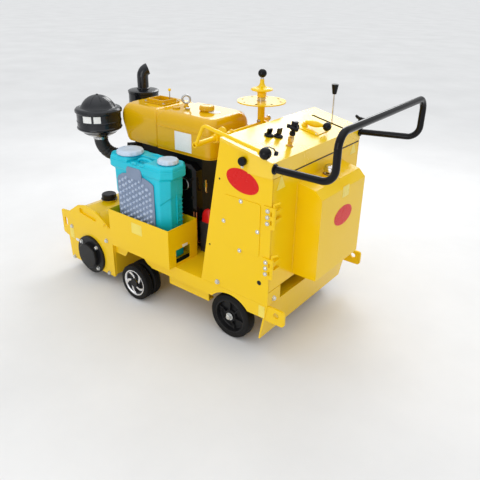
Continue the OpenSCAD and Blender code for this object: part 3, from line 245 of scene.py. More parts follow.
def bolt_maker():
    """Nodes that set a washer and a chamfered head on each point, square to its facing."""
    tree, given = new_maker("bolt_maker", (("Sides", "Int"), ("Width", "Float"),
                                           ("Height", "Float"), ("Washer", "Float"),
                                           ("Crown", "Float")))

    def sum_of(operation, a, b):
        return add_node(tree, "ShaderNodeMath", {0: a, 1: b}, operation=operation).outputs["Value"]

    def disc(sides, base, top, depth, lift):
        cone = add_node(tree, "GeometryNodeMeshCone", {"Vertices": sides, "Radius Bottom": base,
                                                       "Radius Top": top, "Depth": depth})
        raised = add_node(tree, "ShaderNodeCombineXYZ", {"Z": lift})
        return add_node(tree, "GeometryNodeTransform",
                        {"Geometry": cone.outputs["Mesh"],
                         "Translation": raised.outputs["Vector"]}).outputs["Geometry"]

    half = sum_of("MULTIPLY", given["Width"], 0.577)
    washer_t = sum_of("MULTIPLY", given["Washer"], 0.16)
    shank = sum_of("MULTIPLY", given["Height"], 0.68)
    head = add_node(tree, "GeometryNodeJoinGeometry")
    for layer in (disc(24, given["Washer"], given["Washer"], washer_t, 0),
                  disc(given["Sides"], half, half, shank, washer_t),
                  disc(given["Sides"], half, sum_of("MULTIPLY", half, given["Crown"]),
                       sum_of("SUBTRACT", given["Height"], shank),
                       sum_of("ADD", washer_t, shank))):
        tree.links.new(layer, head.inputs["Geometry"])
    facing = add_node(tree, "GeometryNodeInputNamedAttribute", {"Name": "facing"},
                      data_type="FLOAT_VECTOR")
    square = add_node(tree, "FunctionNodeAlignRotationToVector",
                      {"Vector": facing.outputs["Attribute"]}, axis="Z")
    spread = add_node(tree, "GeometryNodeInstanceOnPoints",
                      {"Points": given["Geometry"], "Instance": head.outputs["Geometry"],
                       "Rotation": square.outputs["Rotation"]})
    real = add_node(tree, "GeometryNodeRealizeInstances",
                    {"Geometry": spread.outputs["Instances"]})
    return end_maker(tree, real.outputs["Geometry"], given["Finish"])


def grow(name, tree, places, sizes, body):
    """Runs a maker over points with their facings and keeps the result as one plain piece."""
    seeds = bpy.data.meshes.new(name + "_seeds")
    seeds.from_pydata([place for place, _ in places], [], [])
    facing = seeds.attributes.new("facing", "FLOAT_VECTOR", "POINT")
    facing.data.foreach_set("vector", [c for _, normal in places for c in normal])
    bench = bpy.data.objects.new(name + "_bench", seeds)
    bpy.context.collection.objects.link(bench)
    work = bench.modifiers.new("work", "NODES")
    work.node_group = tree
    for socket in tree.interface.items_tree:
        if socket.in_out == "INPUT" and socket.name in sizes:
            work[socket.identifier] = sizes[socket.name]
    ready = bench.evaluated_get(bpy.context.evaluated_depsgraph_get())
    made = bpy.data.meshes.new_from_object(ready)
    bpy.data.objects.remove(bench)
    piece = bpy.data.objects.new(name, made)
    bpy.context.collection.objects.link(piece)
    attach(piece, body)


BOLTS = bolt_maker()
LEFT, RIGHT, BACK, FRONT, UP = (0, 1, 0), (0, -1, 0), (-1, 0, 0), (1, 0, 0), (0, 0, 1)
HEX = {"Sides": 6, "Width": 0.019, "Height": 0.008, "Washer": 0.0125, "Crown": 0.86,
       "Finish": zinc}

chassis_bolts = []
for side, facing in ((1, LEFT), (-1, RIGHT)):
    for x, z in ((292, 299), (1377, 269), (1386, 66), (1069, 271), (1069, 69)):
        y = SIDE_Y if x < 1000 else SIDE_Y + 20
        chassis_bolts.append((at(x, side * y, z), facing))
    chassis_bolts.append((at(8, side * 330, 301), BACK))
grow("chassis_bolts", BOLTS, chassis_bolts, HEX, "chassis")

# The milling housing: two thick side plates cut with a carrying slot and a lifting slot, a hood
# bent from plate between them, a cast bearing flange on each side and a screw cap on the hood.
satin_black = grown_finish("satin_black", (0.006, 0.006, 0.007), (0.010, 0.010, 0.011), 0.05,
                           (0.26, 0.38), 0.0012, 0.00004, dust=0.02, shine=0.22)


def fix(name, bm, finish, body, edge=0.0, limit=32, replaces=()):
    """Makes a named piece of the work on the bench and fixes it to its body."""
    mesh = bpy.data.meshes.new(name)
    bm.to_mesh(mesh)
    bm.free()
    mesh.materials.append(finish)
    piece = bpy.data.objects.new(name, mesh)
    bpy.context.collection.objects.link(piece)
    ease(piece, edge, limit)
    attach(piece, body)
    if replaces:
        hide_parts(*replaces)
    return piece


def turned(bm, rings, centre, axis, steps=64, closed=False):
    """Turns rings of (radius, height) about axis, drawn anticlockwise; radius 0 makes a pole."""
    spin = Vector(UP).rotation_difference(Vector(axis)).to_matrix()
    loops = []
    for radius, height in rings:
        turns = range(steps) if radius else range(1)
        loops.append([bm.verts.new(at(*centre) + spin @ Vector((
            radius * math.cos(math.tau * i / steps), radius * math.sin(math.tau * i / steps),
            height)) / 1000) for i in turns])
    pairs = list(zip(loops, loops[1:])) + ([(loops[-1], loops[0])] if closed else [])
    for low, high in pairs:
        for i in range(steps):
            j = (i + 1) % steps
            corners = [low[i % len(low)], low[j % len(low)],
                       high[j % len(high)], high[i % len(high)]]
            bm.faces.new([v for k, v in enumerate(corners) if v not in corners[:k]])


def drawn(bm, outline, origin, across, up, depth):
    """Draws an outline, anticlockwise along across and up from origin, out by depth."""
    across, up = Vector(across), Vector(up)
    out = across.cross(up) * depth / 1000
    back = [bm.verts.new(at(*origin) + (across * a + up * b) / 1000) for a, b in outline]
    front = [bm.verts.new(v.co + out) for v in back]
    bm.faces.new(front)
    bm.faces.new(back[::-1])
    for i in range(len(outline)):
        j = (i + 1) % len(outline)
        bm.faces.new((back[i], back[j], front[j], front[i]))


def pillow(width, height, corner, steps=6):
    """An outline of a rounded rectangle about its middle."""
    points = []
    for k, (sx, sy) in enumerate(((1, -1), (1, 1), (-1, 1), (-1, -1))):
        for i in range(steps + 1):
            angle = math.pi / 2 * (k - 1 + i / steps)
            points.append((sx * (width / 2 - corner) + corner * math.cos(angle),
                           sy * (height / 2 - corner) + corner * math.sin(angle)))
    return points


def skin(bm, loops):
    """Walls neighbouring loops of corners together and closes both ends."""
    for low, high in zip(loops, loops[1:]):
        for i in range(len(low)):
            j = (i + 1) % len(low)
            bm.faces.new((low[i], low[j], high[j], high[i]))
    bm.faces.new(loops[0][::-1])
    bm.faces.new(loops[-1])


def tube(bm, path, radius, steps=16, wall=0):
    """A closed round bar along a path of points, of one radius or of one radius for each; with
    a wall its far end is open and the bore runs back through it."""
    points = [at(*p) for p in path]
    radii = radius if isinstance(radius, list) else [radius] * len(path)
    ways = [(b - a).normalized() for a, b in zip(points, points[1:])]
    ways = [ways[0]] + [(a + b).normalized() for a, b in zip(ways, ways[1:])] + [ways[-1]]
    side = ways[0].orthogonal().normalized()
    if wall:
        points, ways = points + points[:1:-1], ways + ways[:1:-1]
        radii = radii + [r - wall for r in radii[:1:-1]]
    loops = []
    for point, way, thick in zip(points, ways, radii):
        side = (side - way * side.dot(way)).normalized()
        other = way.cross(side)
        loops.append([bm.verts.new(point + thick / 1000 * (
            math.cos(math.tau * i / steps) * side + math.sin(math.tau * i / steps) * other))
            for i in range(steps)])
    skin(bm, loops)


for node in ("plate_left", "plate_right"):
    dress(node, yellow, 0.0016)
dress("drum_hood", yellow, 0.0012)
dress("drum_bearings", satin_black, 0)
# A lining of plate behind each carrying slot, welded to the side plate's inner face.
lining = bmesh.new()
for side, across in ((1, BACK), (-1, FRONT)):
    drawn(lining, pillow(190, 62, 20), (1217, side * 385.5, 386), across, UP, -3 * side)
bmesh.ops.recalc_face_normals(lining, faces=lining.faces)
fix("slot_linings", lining, yellow, "chassis")

DRUM_X, DRUM_Z, FLANGE_R = 1212, 142, 92
flange_bolts = []
for side, facing in ((1, LEFT), (-1, RIGHT)):
    for k in range(4):
        angle = math.radians(45 + 90 * k)
        flange_bolts.append((at(DRUM_X + FLANGE_R * math.cos(angle), side * 411,
                                DRUM_Z + FLANGE_R * math.sin(angle)), facing))
grow("flange_bolts", BOLTS, flange_bolts, {**HEX, "Height": 0.009, "Width": 0.017}, "chassis")

CAP_X, CAP_Y = 1238, 221
cap = bmesh.new()
turned(cap, [(0, 0), (46, 0), (46, 4), (41, 6), (41, 27), (39, 31), (35, 33), (33, 31), (0, 31)],
       (CAP_X, CAP_Y, 423.3), UP, 96)
for v in cap.verts:
    spoke = (v.co - at(CAP_X, CAP_Y, 0)).xy
    if 0.0405 < spoke.length < 0.042:
        notch = 0.03 * (math.sin(24 * math.atan2(spoke.y, spoke.x)) > 0)
        v.co.xy = at(CAP_X, CAP_Y, 0).xy + spoke * (1 - notch)
fix("hood_screw_cap", cap, satin_black, "chassis", 0.0006,
    replaces=("hood_cap",))

loop = bmesh.new()
tube(loop, [(1060 + 16 * math.cos(t / 12 * math.pi), 402, 356 + 22 * math.sin(t / 12 * math.pi))
            for t in range(13)], 2.6, 10)
fix("tie_loop", loop, yellow, "chassis")

# The milling drum: a thick tube on a through axle with welded tool holders in a helix, and picks
# of hardened steel whose brazed carbide points are dull from use.
drum_steel = grown_finish("drum_steel", (0.050, 0.048, 0.046), (0.12, 0.09, 0.07), 0.04,
                          (0.45, 0.75), 0.002, 0.0003, metal=0.6, dust=0.2)
pick_steel = grown_finish("pick_steel", (0.38, 0.37, 0.35), (0.18, 0.15, 0.13), 0.01,
                          (0.30, 0.55), 0.001, 0.0001, metal=1.0, dust=0.1)
turned_steel = grown_finish("turned_steel", (0.55, 0.55, 0.55), (0.40, 0.40, 0.40), 0.02,
                            (0.20, 0.34), 0.0006, 0.00003, metal=1.0)
dress("drum_shell", drum_steel, 0.0008)
dress("drum_pulley", drum_steel, 0)
dress("drum_picks", pick_steel, 0)
dress("drum_axle", turned_steel, 0)

# The front wheels: on each side a pair of solid rubber tyres with a fine block tread, pressed on
# bright cast rims whose five blades sweep back round a black cap, on the yellow depth arm.
rubber = grown_finish("tyre_rubber", (0.004, 0.004, 0.005), (0.008, 0.008, 0.008), 0.03,
                      (0.48, 0.66), 0.0015, 0.0001, dust=0.03, shine=0.14)
bright_alloy = grown_finish("bright_alloy", (0.93, 0.93, 0.95), (0.80, 0.80, 0.82), 0.05,
                            (0.10, 0.22), 0.0008, 0.00002, metal=1.0)
AXLE_X, AXLE_Z = 840, 100
INNER_Y, OUTER_Y = 309, 371
TYRE_R, RIM_R, TYRE_W = 100, 74, 50
SIPES = 60


def front_tyre(bm, y, side):
    """One tyre from its inner face at y outwards, with grooves round it and sipes across."""
    ring = [(RIM_R, 3), (RIM_R + 3, 0.6), (86, 0), (93, 1.6), (97.5, 5), (99.6, 9)]
    for groove in (16, 25, 34):
        ring += [(TYRE_R, groove - 2), (TYRE_R - 2.6, groove - 1.2), (TYRE_R - 2.6, groove + 1.2),
                 (TYRE_R, groove + 2)]
    ring += [(r, TYRE_W - h) for r, h in reversed(ring[:6])]
    steps = SIPES * 4
    turned(bm, ring, (AXLE_X, y, AXLE_Z), (0, side, 0), steps, closed=True)
    middle = at(AXLE_X, 0, AXLE_Z)
    for v in bm.verts:
        spoke = Vector((v.co.x - middle.x, v.co.z - middle.z))
        rib = int((abs(v.co.y) * 1000 - abs(y)) / 9)
        turn_step = round(math.atan2(spoke.y, spoke.x) / math.tau * steps)
        if spoke.length > 0.0972 and (turn_step + rib * 2) % 4 == 0:
            spoke = spoke * (1 - 0.0022 / spoke.length)
            v.co.x, v.co.z = middle.x + spoke.x, middle.z + spoke.y


def swept_blade(start, inner, outer, narrow, wide, sweep):
    """The outline of one blade, from the hub out to the rim, swept round as it widens."""
    rows = [(inner + (outer - inner) * k / 6, start + sweep * k / 6,
             narrow + (wide - narrow) * k / 6) for k in range(7)]
    lead = [(r * math.cos(a), r * math.sin(a)) for r, a, w in rows]
    trail = [(r * math.cos(a + w / r), r * math.sin(a + w / r)) for r, a, w in rows]
    return lead + trail[::-1]


for side, name in ((1, "left"), (-1, "right")):
    body = "wheels_front_" + name
    across, out = (-side, 0, 0), (0, side, 0)
    tyres, rims, cores = bmesh.new(), bmesh.new(), bmesh.new()
    for y in (INNER_Y, OUTER_Y):
        middle = (AXLE_X, side * y, AXLE_Z)
        front_tyre(tyres, side * y, side)
        turned(rims, [(64, 8), (68, 3.4), (RIM_R - 0.2, 3), (RIM_R - 0.2, TYRE_W - 3),
                      (70, TYRE_W - 2.6), (67, TYRE_W - 4), (64.5, TYRE_W - 9), (63, TYRE_W - 16),
                      (63, 16)], middle, out, 96, closed=True)
        for k in range(5):
            drawn(rims, swept_blade(math.tau * k / 5, 22, 64, 10, 21, 0.75),
                  (AXLE_X, side * (y + TYRE_W - 15), AXLE_Z), across, UP, 9)
        turned(cores, [(15.2, 12), (30, 12), (34, 14), (63.2, 14), (63.2, 30), (30, 30), (24, 38),
                       (15.2, 38)], middle, out, 64, closed=True)
    turned(cores, [(15.3, 4), (23, 4), (23, 9), (15.3, 9)], (AXLE_X, side * 355, AXLE_Z), out, 48,
           closed=True)
    cap_seat = 417.2 - OUTER_Y
    turned(cores, [(0, cap_seat), (25, cap_seat), (25.5, 48.6), (23.5, 49.8), (20, 50),
                   (19, 49.2), (0, 49.2)], (AXLE_X, side * OUTER_Y, AXLE_Z), out, 64)
    fix("front_tyres_" + name, tyres, rubber, body,
        replaces=("tyres_front_" + name,))
    fix("front_rims_" + name, rims, bright_alloy, body, 0.0008,
        replaces=("rims_front_" + name,))
    fix("front_rim_cores_" + name, cores, satin_black, body, 0.0005)
dress("axle_arm", yellow)

# The rear wheels: black solid rubber on deep dished hubs with webs, each held by a zinc washer
# and nut on the end of the rear axle.
HUB_X, HUB_Y, HUB_Z = 237, 298, 115
WASHER_Y = 356
for side, name in ((1, "left"), (-1, "right")):
    body = "wheel_rear_" + name
    middle, out = (HUB_X, side * HUB_Y, HUB_Z), (0, side, 0)
    tyre = bmesh.new()
    turned(tyre, [(86, 3), (90, 0.8), (100, 0), (108, 1.5), (112.6, 4.5), (114.7, 9), (115, 14),
                  (115, 27.5), (114.2, 28), (114.2, 30), (115, 30.5), (115, 44), (114.7, 49),
                  (112.6, 53.5), (108, 56.5), (100, 58), (90, 57.2), (86, 55)],
           middle, out, 128, closed=True)
    fix("rear_tyre_" + name, tyre, rubber, body, replaces=("tyre_rear_" + name,))
    dish = bmesh.new()
    turned(dish, [(15.1, 2), (30, 2), (34, 18), (75, 18), (79, 3), (86.8, 3), (86.8, 55), (84, 56),
                  (80, 55), (74, 34), (70, 31), (40, 31), (33, 34), (29, 48), (26, 50),
                  (15.1, 50)], middle, out, 96, closed=True)
    for k in range(6):
        angle = math.tau * k / 6 + 0.3
        along, beside = Vector((math.cos(angle), 0, math.sin(angle))), Vector(out)
        origin = Vector((HUB_X, side * 326, HUB_Z)) + along * 26 - along.cross(beside) * 3
        drawn(dish, [(0, 0), (52, 0), (52, 14), (30, 9), (8, 20), (0, 20)], origin, along, beside,
              6 * side)
    bmesh.ops.recalc_face_normals(dish, faces=dish.faces)
    fix("rear_hub_" + name, dish, satin_black, body, 0.0008,
        replaces=("hub_rear_" + name,))
    washer = bmesh.new()
    turned(washer, [(0, 352.2), (19, 352.2), (19.6, 353), (19.6, 355), (18.6, WASHER_Y),
                    (9, WASHER_Y), (0, WASHER_Y)], (HUB_X, 0, HUB_Z), out, 48)
    fix("rear_washer_" + name, washer, zinc, body, 0.0003)
    grow("rear_nut_" + name, BOLTS, [(at(HUB_X, side * WASHER_Y, HUB_Z), out)],
         {**HEX, "Width": 0.024, "Height": 0.009, "Washer": 0.012}, body)
dress("rear_axle", turned_steel, 0)

# The open water box of folded plate, with a window behind for the hose and black rubber plates
# inside its back as painted shade of the gap seen through that window, and the bright blow-moulded
# sprayer tank that stands in it: cut corners, a collar, a waist and a hand hold.
dress("water_box", yellow, 0.0012)
cyan = grown_finish("cyan_plastic", (0.003, 0.57, 0.71), (0.003, 0.50, 0.64), 0.12, (0.30, 0.42),
                    0.002, 0.00008, shine=0.45)
TANK_X, TANK_Y, TANK_Z = 807, 299, 280.6
COLLAR_L, COLLAR_W, BODY_L, BODY_W = 428, 172, 386, 158
CUT, COLLAR_CUT, COLLAR_AHEAD = 38, 42, 11
LEFT_WAIST, REAR_WAIST = 307, 343


def cut_corner(length, width, cut, ahead=0):
    """The tank's outline from above: a rectangle with its four corners cut, anticlockwise, whose
    front end stands further ahead."""
    l, w = length / 2, width / 2
    f = l + ahead
    return [(f - cut, -w), (f, -w + cut), (f, w - cut), (f - cut, w), (-l + cut, w), (-l, w - cut),
            (-l, -w + cut), (-l + cut, -w)]


def stacked(bm, layers, origin=(TANK_X, TANK_Y, TANK_Z)):
    """Walls a form through stacked outlines of (points, height or heights) over origin."""
    loops = []
    for points, height in layers:
        heights = height if isinstance(height, list) else [height] * len(points)
        loops.append([bm.verts.new(at(origin[0] + x, origin[1] + y, origin[2] + z))
                      for (x, y), z in zip(points, heights)])
    skin(bm, loops)


shell = bmesh.new()
waist = [LEFT_WAIST] * 5 + [REAR_WAIST] * 2 + [LEFT_WAIST]
collar = cut_corner(COLLAR_L, COLLAR_W, COLLAR_CUT, COLLAR_AHEAD)
stacked(shell, [(cut_corner(BODY_L - 26, BODY_W - 16, 34), 0),
                (cut_corner(BODY_L - 8, BODY_W - 6, CUT), 12),
                (cut_corner(BODY_L - 8, BODY_W - 5, CUT), [h - 8 for h in waist]),
                (cut_corner(BODY_L, BODY_W, CUT), waist),
                (cut_corner(BODY_L + 4, BODY_W, CUT), 430),
                (cut_corner(COLLAR_L - 4, COLLAR_W - 2, COLLAR_CUT, COLLAR_AHEAD), 440),
                (collar, 446), (collar, 478)])
low = cut_corner(COLLAR_L - 3, COLLAR_W - 3, COLLAR_CUT, COLLAR_AHEAD)
for start, end in ((-214, -50), (62, 225)):
    outer = [(min(max(x, start), end), y) for x, y in low]
    inner = [(min(max(x, start + 8), end - 8), y * 0.86) for x, y in low]
    stacked(shell, [(outer, 476), (outer, 488), (inner, 498)])
saddle = [(74, -70), (74, -14), (58, -2), (-46, -2), (-62, -14), (-62, -70)]
stacked(shell, [(saddle, 470), (saddle, 492), ([(x * 0.94, y * 0.9 - 3) for x, y in saddle], 499)])
tank = fix("sprayer_tank", shell, cyan, "chassis", 0.0045, 20, ("water_tank",))
tank.modifiers["eased_edge"].segments = 3

# Black plates on the floor and wall in the box's back: painted shade of the gap behind the window.
window_shade = bmesh.new()
drawn(window_shade, pillow(40, 160, 3), (592, 300, 280.4), FRONT, LEFT, 3)
drawn(window_shade, pillow(40, 110, 3), (592, 222, 339), BACK, UP, 4)
fix("box_window_shade", window_shade, rubber, "chassis", 0.0006)

details = bmesh.new()
for k in range(6):
    z = 205 + 22 * k
    drawn(details, pillow(36, 4, 1.9, 3), (617.2, TANK_Y - 22, TANK_Z + z), RIGHT, UP, 4.6)
drawn(details, pillow(4, 236, 1.9, 3), (617.5, TANK_Y - 1, TANK_Z + 310), RIGHT, UP, 5)
for y in (34, -46):
    strap = [(TANK_X - 74 + 6 * k, TANK_Y + y,
              TANK_Z + 483 + 17 * math.sin(math.pi * k / 17) ** 0.6) for k in range(18)]
    tube(details, strap, 8, 12)
for x in (TANK_X - 50, TANK_X + 6):
    drawn(details, pillow(34, 8, 3.5, 3), (x, TANK_Y + 84, TANK_Z + 482), FRONT, LEFT, 9)
fix("sprayer_tank_details", details, cyan, "chassis", 0.0008)

# The caps are pale grey-blue mouldings with scalloped rims; the pad on the tank's face is softer,
# with a tab hooked under the collar and staggered rows of raised ovals for the carrier's back. The
# pad's grey is painted darker on its ground as painted shade between the ovals, and paler on the
# ovals as painted light on their tops.
pale_grey = grown_finish("pale_grey_plastic", (0.57, 0.67, 0.80), (0.53, 0.63, 0.76), 0.08,
                         (0.36, 0.5), 0.0012, 0.00006)
# Pad ground darker and ovals paler: painted shade between the ovals and painted light on their
# tops.
shaded_pad_grey = grown_finish("pad_grey_plastic_shaded", (0.22, 0.28, 0.40), (0.19, 0.25, 0.36), 0.06,
                        (0.42, 0.58), 0.001, 0.00008)
lit_oval_grey = grown_finish("oval_grey_plastic_lit", (0.46, 0.54, 0.68), (0.42, 0.50, 0.64), 0.06,
                         (0.42, 0.58), 0.001, 0.00008)
caps = bmesh.new()
for x, y, radius in ((921, 309, 69), (661, 303, 52)):
    first = len(caps.verts)
    turned(caps, [(0, 0), (radius - 8, 0), (radius - 3, 3), (radius, 6), (radius - 1.5, 18),
                  (radius - 4, 21.5), (radius - 9, 23.4), (radius - 22, 24), (6, 24), (4, 23.2),
                  (0, 23.2)], (x, y, TANK_Z + 498.6), UP, 120)
    turned(caps, [(0, 0), (2, 0), (2, 0.8), (0, 0.8)], (x, y, TANK_Z + 522.4), UP, 12)
    caps.verts.ensure_lookup_table()
    for v in caps.verts[first:]:
        rim = (v.co - at(x, y, 0)).xy
        if rim.length * 1000 > radius - 6:
            scallop = 1 - 0.045 * abs(math.cos(6 * math.atan2(rim.y, rim.x))) ** 3
            v.co.xy = at(x, y, 0).xy + rim * scallop
fix("sprayer_caps", caps, pale_grey, "chassis", replaces=("tank_caps",))

PAD_Y, PAD_T = 378.4, 6
pad = bmesh.new()
drawn(pad, [(-687, 40), (-687, 393), (-692, 404), (-724, 416), (-758, 424), (-876, 423),
            (-908, 416), (-940, 396), (-948, 380), (-948, 40)], (0, PAD_Y, TANK_Z), BACK, UP,
      PAD_T)
drawn(pad, [(-764, 402), (-764, 452), (-774, 464), (-860, 462), (-869, 450), (-869, 402)],
      (0, PAD_Y + 2, TANK_Z), BACK, UP, 9)
fix("sprayer_pad", pad, shaded_pad_grey, "chassis", 0.0022, 40, ("tank_pad",))


def oval_maker():
    """Nodes that set a flattened oval on each point of the pad, stretched by its facing."""
    tree, given = new_maker("pad_ovals", (("Width", "Float"), ("Length", "Float"),
                                          ("Height", "Float")))
    ball = add_node(tree, "GeometryNodeMeshUVSphere", {"Segments": 14, "Rings": 8, "Radius": 1})
    size = add_node(tree, "ShaderNodeCombineXYZ",
                    {"X": given["Width"], "Y": given["Height"], "Z": given["Length"]})
    stretch = add_node(tree, "GeometryNodeInputNamedAttribute", {"Name": "facing"},
                       data_type="FLOAT_VECTOR")
    scale = add_node(tree, "ShaderNodeVectorMath",
                     {0: size.outputs["Vector"], 1: stretch.outputs["Attribute"]},
                     operation="MULTIPLY")
    spread = add_node(tree, "GeometryNodeInstanceOnPoints",
                      {"Points": given["Geometry"], "Instance": ball.outputs["Mesh"],
                       "Scale": scale.outputs["Vector"]})
    real = add_node(tree, "GeometryNodeRealizeInstances",
                    {"Geometry": spread.outputs["Instances"]})
    soft = add_node(tree, "GeometryNodeSetShadeSmooth", {"Geometry": real.outputs["Geometry"]})
    return end_maker(tree, soft.outputs["Geometry"], given["Finish"])


ovals = []
chance = random.Random(7)
for row in range(24):
    for column in range(5):
        x = 708 + 48 * column + (24 if row % 2 else 0)
        z = 54 + 15 * row
        if x > 934 or z > 402 - max(0, abs(x - 817) - 70) * 0.8:
            continue
        if (row * 5 + column * 3) % 7 == 0:
            stretch = (1.7, 0.7, 1.0)
        else:
            stretch = (chance.uniform(0.85, 1.1), chance.uniform(0.9, 1.1),
                       chance.uniform(0.9, 1.15))
        ovals.append((at(x, PAD_Y + PAD_T, TANK_Z + z), stretch))
grow("sprayer_pad_ovals", oval_maker(), ovals,
     {"Width": 0.0072, "Length": 0.0086, "Height": 0.0115, "Finish": lit_oval_grey}, "chassis")

# The engine: a single-cylinder diesel with its crankcase in dull black, a glossy pressed timing
# cover with the ring of its starting handle, and oil, fuel and water pipes down its left side;
# its belts run behind a yellow guard held by hexagon screws.
iron = grown_finish("engine_iron", (0.006, 0.006, 0.007), (0.014, 0.013, 0.013), 0.07,
                    (0.42, 0.62), 0.0016, 0.0002, dust=0.03, shine=0.2)
gloss_black = grown_finish("gloss_black", (0.003, 0.003, 0.004), (0.006, 0.006, 0.007), 0.09,
                           (0.07, 0.13), 0.001, 0.00001, shine=0.2)
copper = grown_finish("copper_pipe", (0.58, 0.26, 0.12), (0.36, 0.16, 0.08), 0.03,
                      (0.25, 0.42), 0.0008, 0.00005, metal=1.0)
brass = grown_finish("brass", (0.78, 0.56, 0.24), (0.60, 0.40, 0.16), 0.02,
                     (0.18, 0.32), 0.0006, 0.00003, metal=1.0)
dress("crankcase", iron, 0.0014)
dress("timing_cover", gloss_black, 0.0022)
dress("belt_guard", yellow, 0.0014)
ENGINE_X, TIMING_Y, DECK_Z = 600, 186, 277

cover_bolts = [(at(ENGINE_X + x, TIMING_Y - 1, DECK_Z + z), LEFT) for x, z in
               ((24, 110), (60, 60), (130, 58), (204, 64), (236, 104), (236, 190), (236, 290),
                (236, 380), (192, 444), (120, 454), (52, 454), (16, 400), (16, 300), (16, 200))]
grow("timing_bolts", BOLTS, cover_bolts,
     {**HEX, "Width": 0.012, "Height": 0.006, "Washer": 0.008, "Finish": iron}, "chassis")
guard_screws = [(at(x, -354.3, z), RIGHT) for x, z in
                ((778, 670), (642, 670), (574, 552), (636, 438), (790, 345), (907, 568),
                 (970, 518))]
grow("guard_screws", BOLTS, guard_screws, HEX, "chassis")
rings = bmesh.new()
for x, z, radius in ((64, 367, 34), (170, 170, 46)):
    turned(rings, [(radius - 6, 9), (radius - 3, 8), (radius, 9), (radius + 0.6, 12),
                   (radius - 1.5, 14.2), (radius - 4.5, 14.2), (radius - 6.5, 12)],
           (ENGINE_X + x, TIMING_Y, DECK_Z + z), LEFT, 72, closed=True)
fix("timing_cover_rings", rings, turned_steel, "chassis")

pipes = bmesh.new()
tube(pipes, [(850, 130, 330), (850, 200, 360), (850, 206, 420), (850, 206, 600), (846, 196, 690),
             (830, 128, 716)], 6, 14)
tube(pipes, [(1000, 96, 470), (1000, 150, 480), (1006, 176, 520), (1010, 176, 640),
             (1010, 150, 700)], 6, 14)
fix("engine_pipes", pipes, gloss_black, "chassis")
copper_run = bmesh.new()
for x, lift in ((608, 0), (590, 9)):
    tube(copper_run, [(x, 120, 322 + lift), (x, 150, 318 + lift), (x - 4, 176, 320 + lift),
                      (x - 8, 192, 340 + lift), (x - 8, 194, 400), (x - 4, 192, 470),
                      (x + 6, 180, 500)], 3.2, 10)
fix("copper_pipes", copper_run, copper, "chassis")
fittings = bmesh.new()
for x, y, z, r, h in ((572, 134, 632, 9, 38), (850, 206, 596, 8, 22)):
    turned(fittings, [(0, 0), (r, 0), (r, h * 0.6), (r * 0.7, h * 0.6), (r * 0.7, h), (0, h)],
           (x, y, z), UP, 6)
tube(fittings, [(584, 120, 600), (574, 128, 600), (572, 134, 610), (572, 134, 634)], 5, 12)
fix("pipe_fittings", fittings, brass, "chassis", 0.0006)
ribs = bmesh.new()
for k in range(9):
    drawn(ribs, pillow(118, 5, 2, 2), (ENGINE_X + 398, 100, DECK_Z + 186 + 32 * k), BACK, UP, 12)
for k in range(5):
    drawn(ribs, pillow(6, 150, 2, 2), (ENGINE_X + 24 + 44 * k, 124, DECK_Z + 330), BACK, UP, 10)
fix("crankcase_ribs", ribs, iron, "chassis", 0.0008)

# The fuel tank and the water hopper over the engine are one round-shouldered pressing in deep
# gold, parted by a seam, with the filler frame, float, eye and fluted fuel cap on top.
gold = grown_finish("gold_paint", (0.74, 0.42, 0.002), (0.68, 0.38, 0.002), 0.22, (0.08, 0.13),
                    0.0016, 0.00002, shine=0.38)
HOPPER_Z, HOPPER_H, HOPPER_Y, HOPPER_W = 788, 195, 16, 316
TOP_Z = HOPPER_Z + HOPPER_H
REAR_X, SEAM_X, FRONT_X = 500.5, 866, 1149.5
ROUND, TIGHT = 48, 9


def hopper_ring(x0, x1, inset, rear_corner, front_corner, steps=10):
    """The hopper's outline from above, with its own corner radius at each end."""
    points = []
    for k, (sx, sy) in enumerate(((1, -1), (1, 1), (-1, 1), (-1, -1))):
        corner = front_corner if sx > 0 else rear_corner
        middle = (x1 - inset - corner if sx > 0 else x0 + inset + corner,
                  HOPPER_Y + sy * (HOPPER_W / 2 - inset - corner))
        for i in range(steps + 1):
            angle = math.pi / 2 * (k - 1 + i / steps)
            points.append((middle[0] + corner * math.cos(angle),
                           middle[1] + corner * math.sin(angle)))
    return points


def hopper_part(bm, x0, x1, nose, rear_corner, front_corner, sink=0):
    """A closed length of the hopper, whose nose leans forward up to half its height."""
    layers = []
    for k in range(29):
        t = k / 28
        shoulder = max(0, (t - 0.66) / 0.34)
        inset = sink + 40 * (1 - math.sqrt(max(0, 1 - shoulder ** 2))) + 4 * max(0, 1 - t / 0.06)
        lean = nose * max(0, 1 - t / 0.55)
        layers.append((hopper_ring(x0, x1 - lean, inset, rear_corner, front_corner),
                       HOPPER_Z + 1 + (HOPPER_H - 1.5 - sink) * t))
    stacked(bm, layers, (0, 0, 0))


hopper = bmesh.new()
hopper_part(hopper, REAR_X, SEAM_X - 2, 0, ROUND, TIGHT)
hopper_part(hopper, SEAM_X + 2, FRONT_X, 34, TIGHT, ROUND)
hopper_part(hopper, 560, 1040, 0, 20, 20, 6)
fix("hopper_pressings", hopper, gold, "chassis", 0.0012, 34, ("hopper",))
rims = bmesh.new()
for height, inset, thick, steps in ((121, -0.6, 3.0, 10), (3, -0.2, 2.2, 8)):
    ring = [(x, y, HOPPER_Z + height)
            for x, y in hopper_ring(REAR_X, SEAM_X - 2, inset, ROUND, TIGHT)]
    tube(rims, ring + ring[:1], thick, steps)
fix("hopper_rims", rims, gold, "chassis")

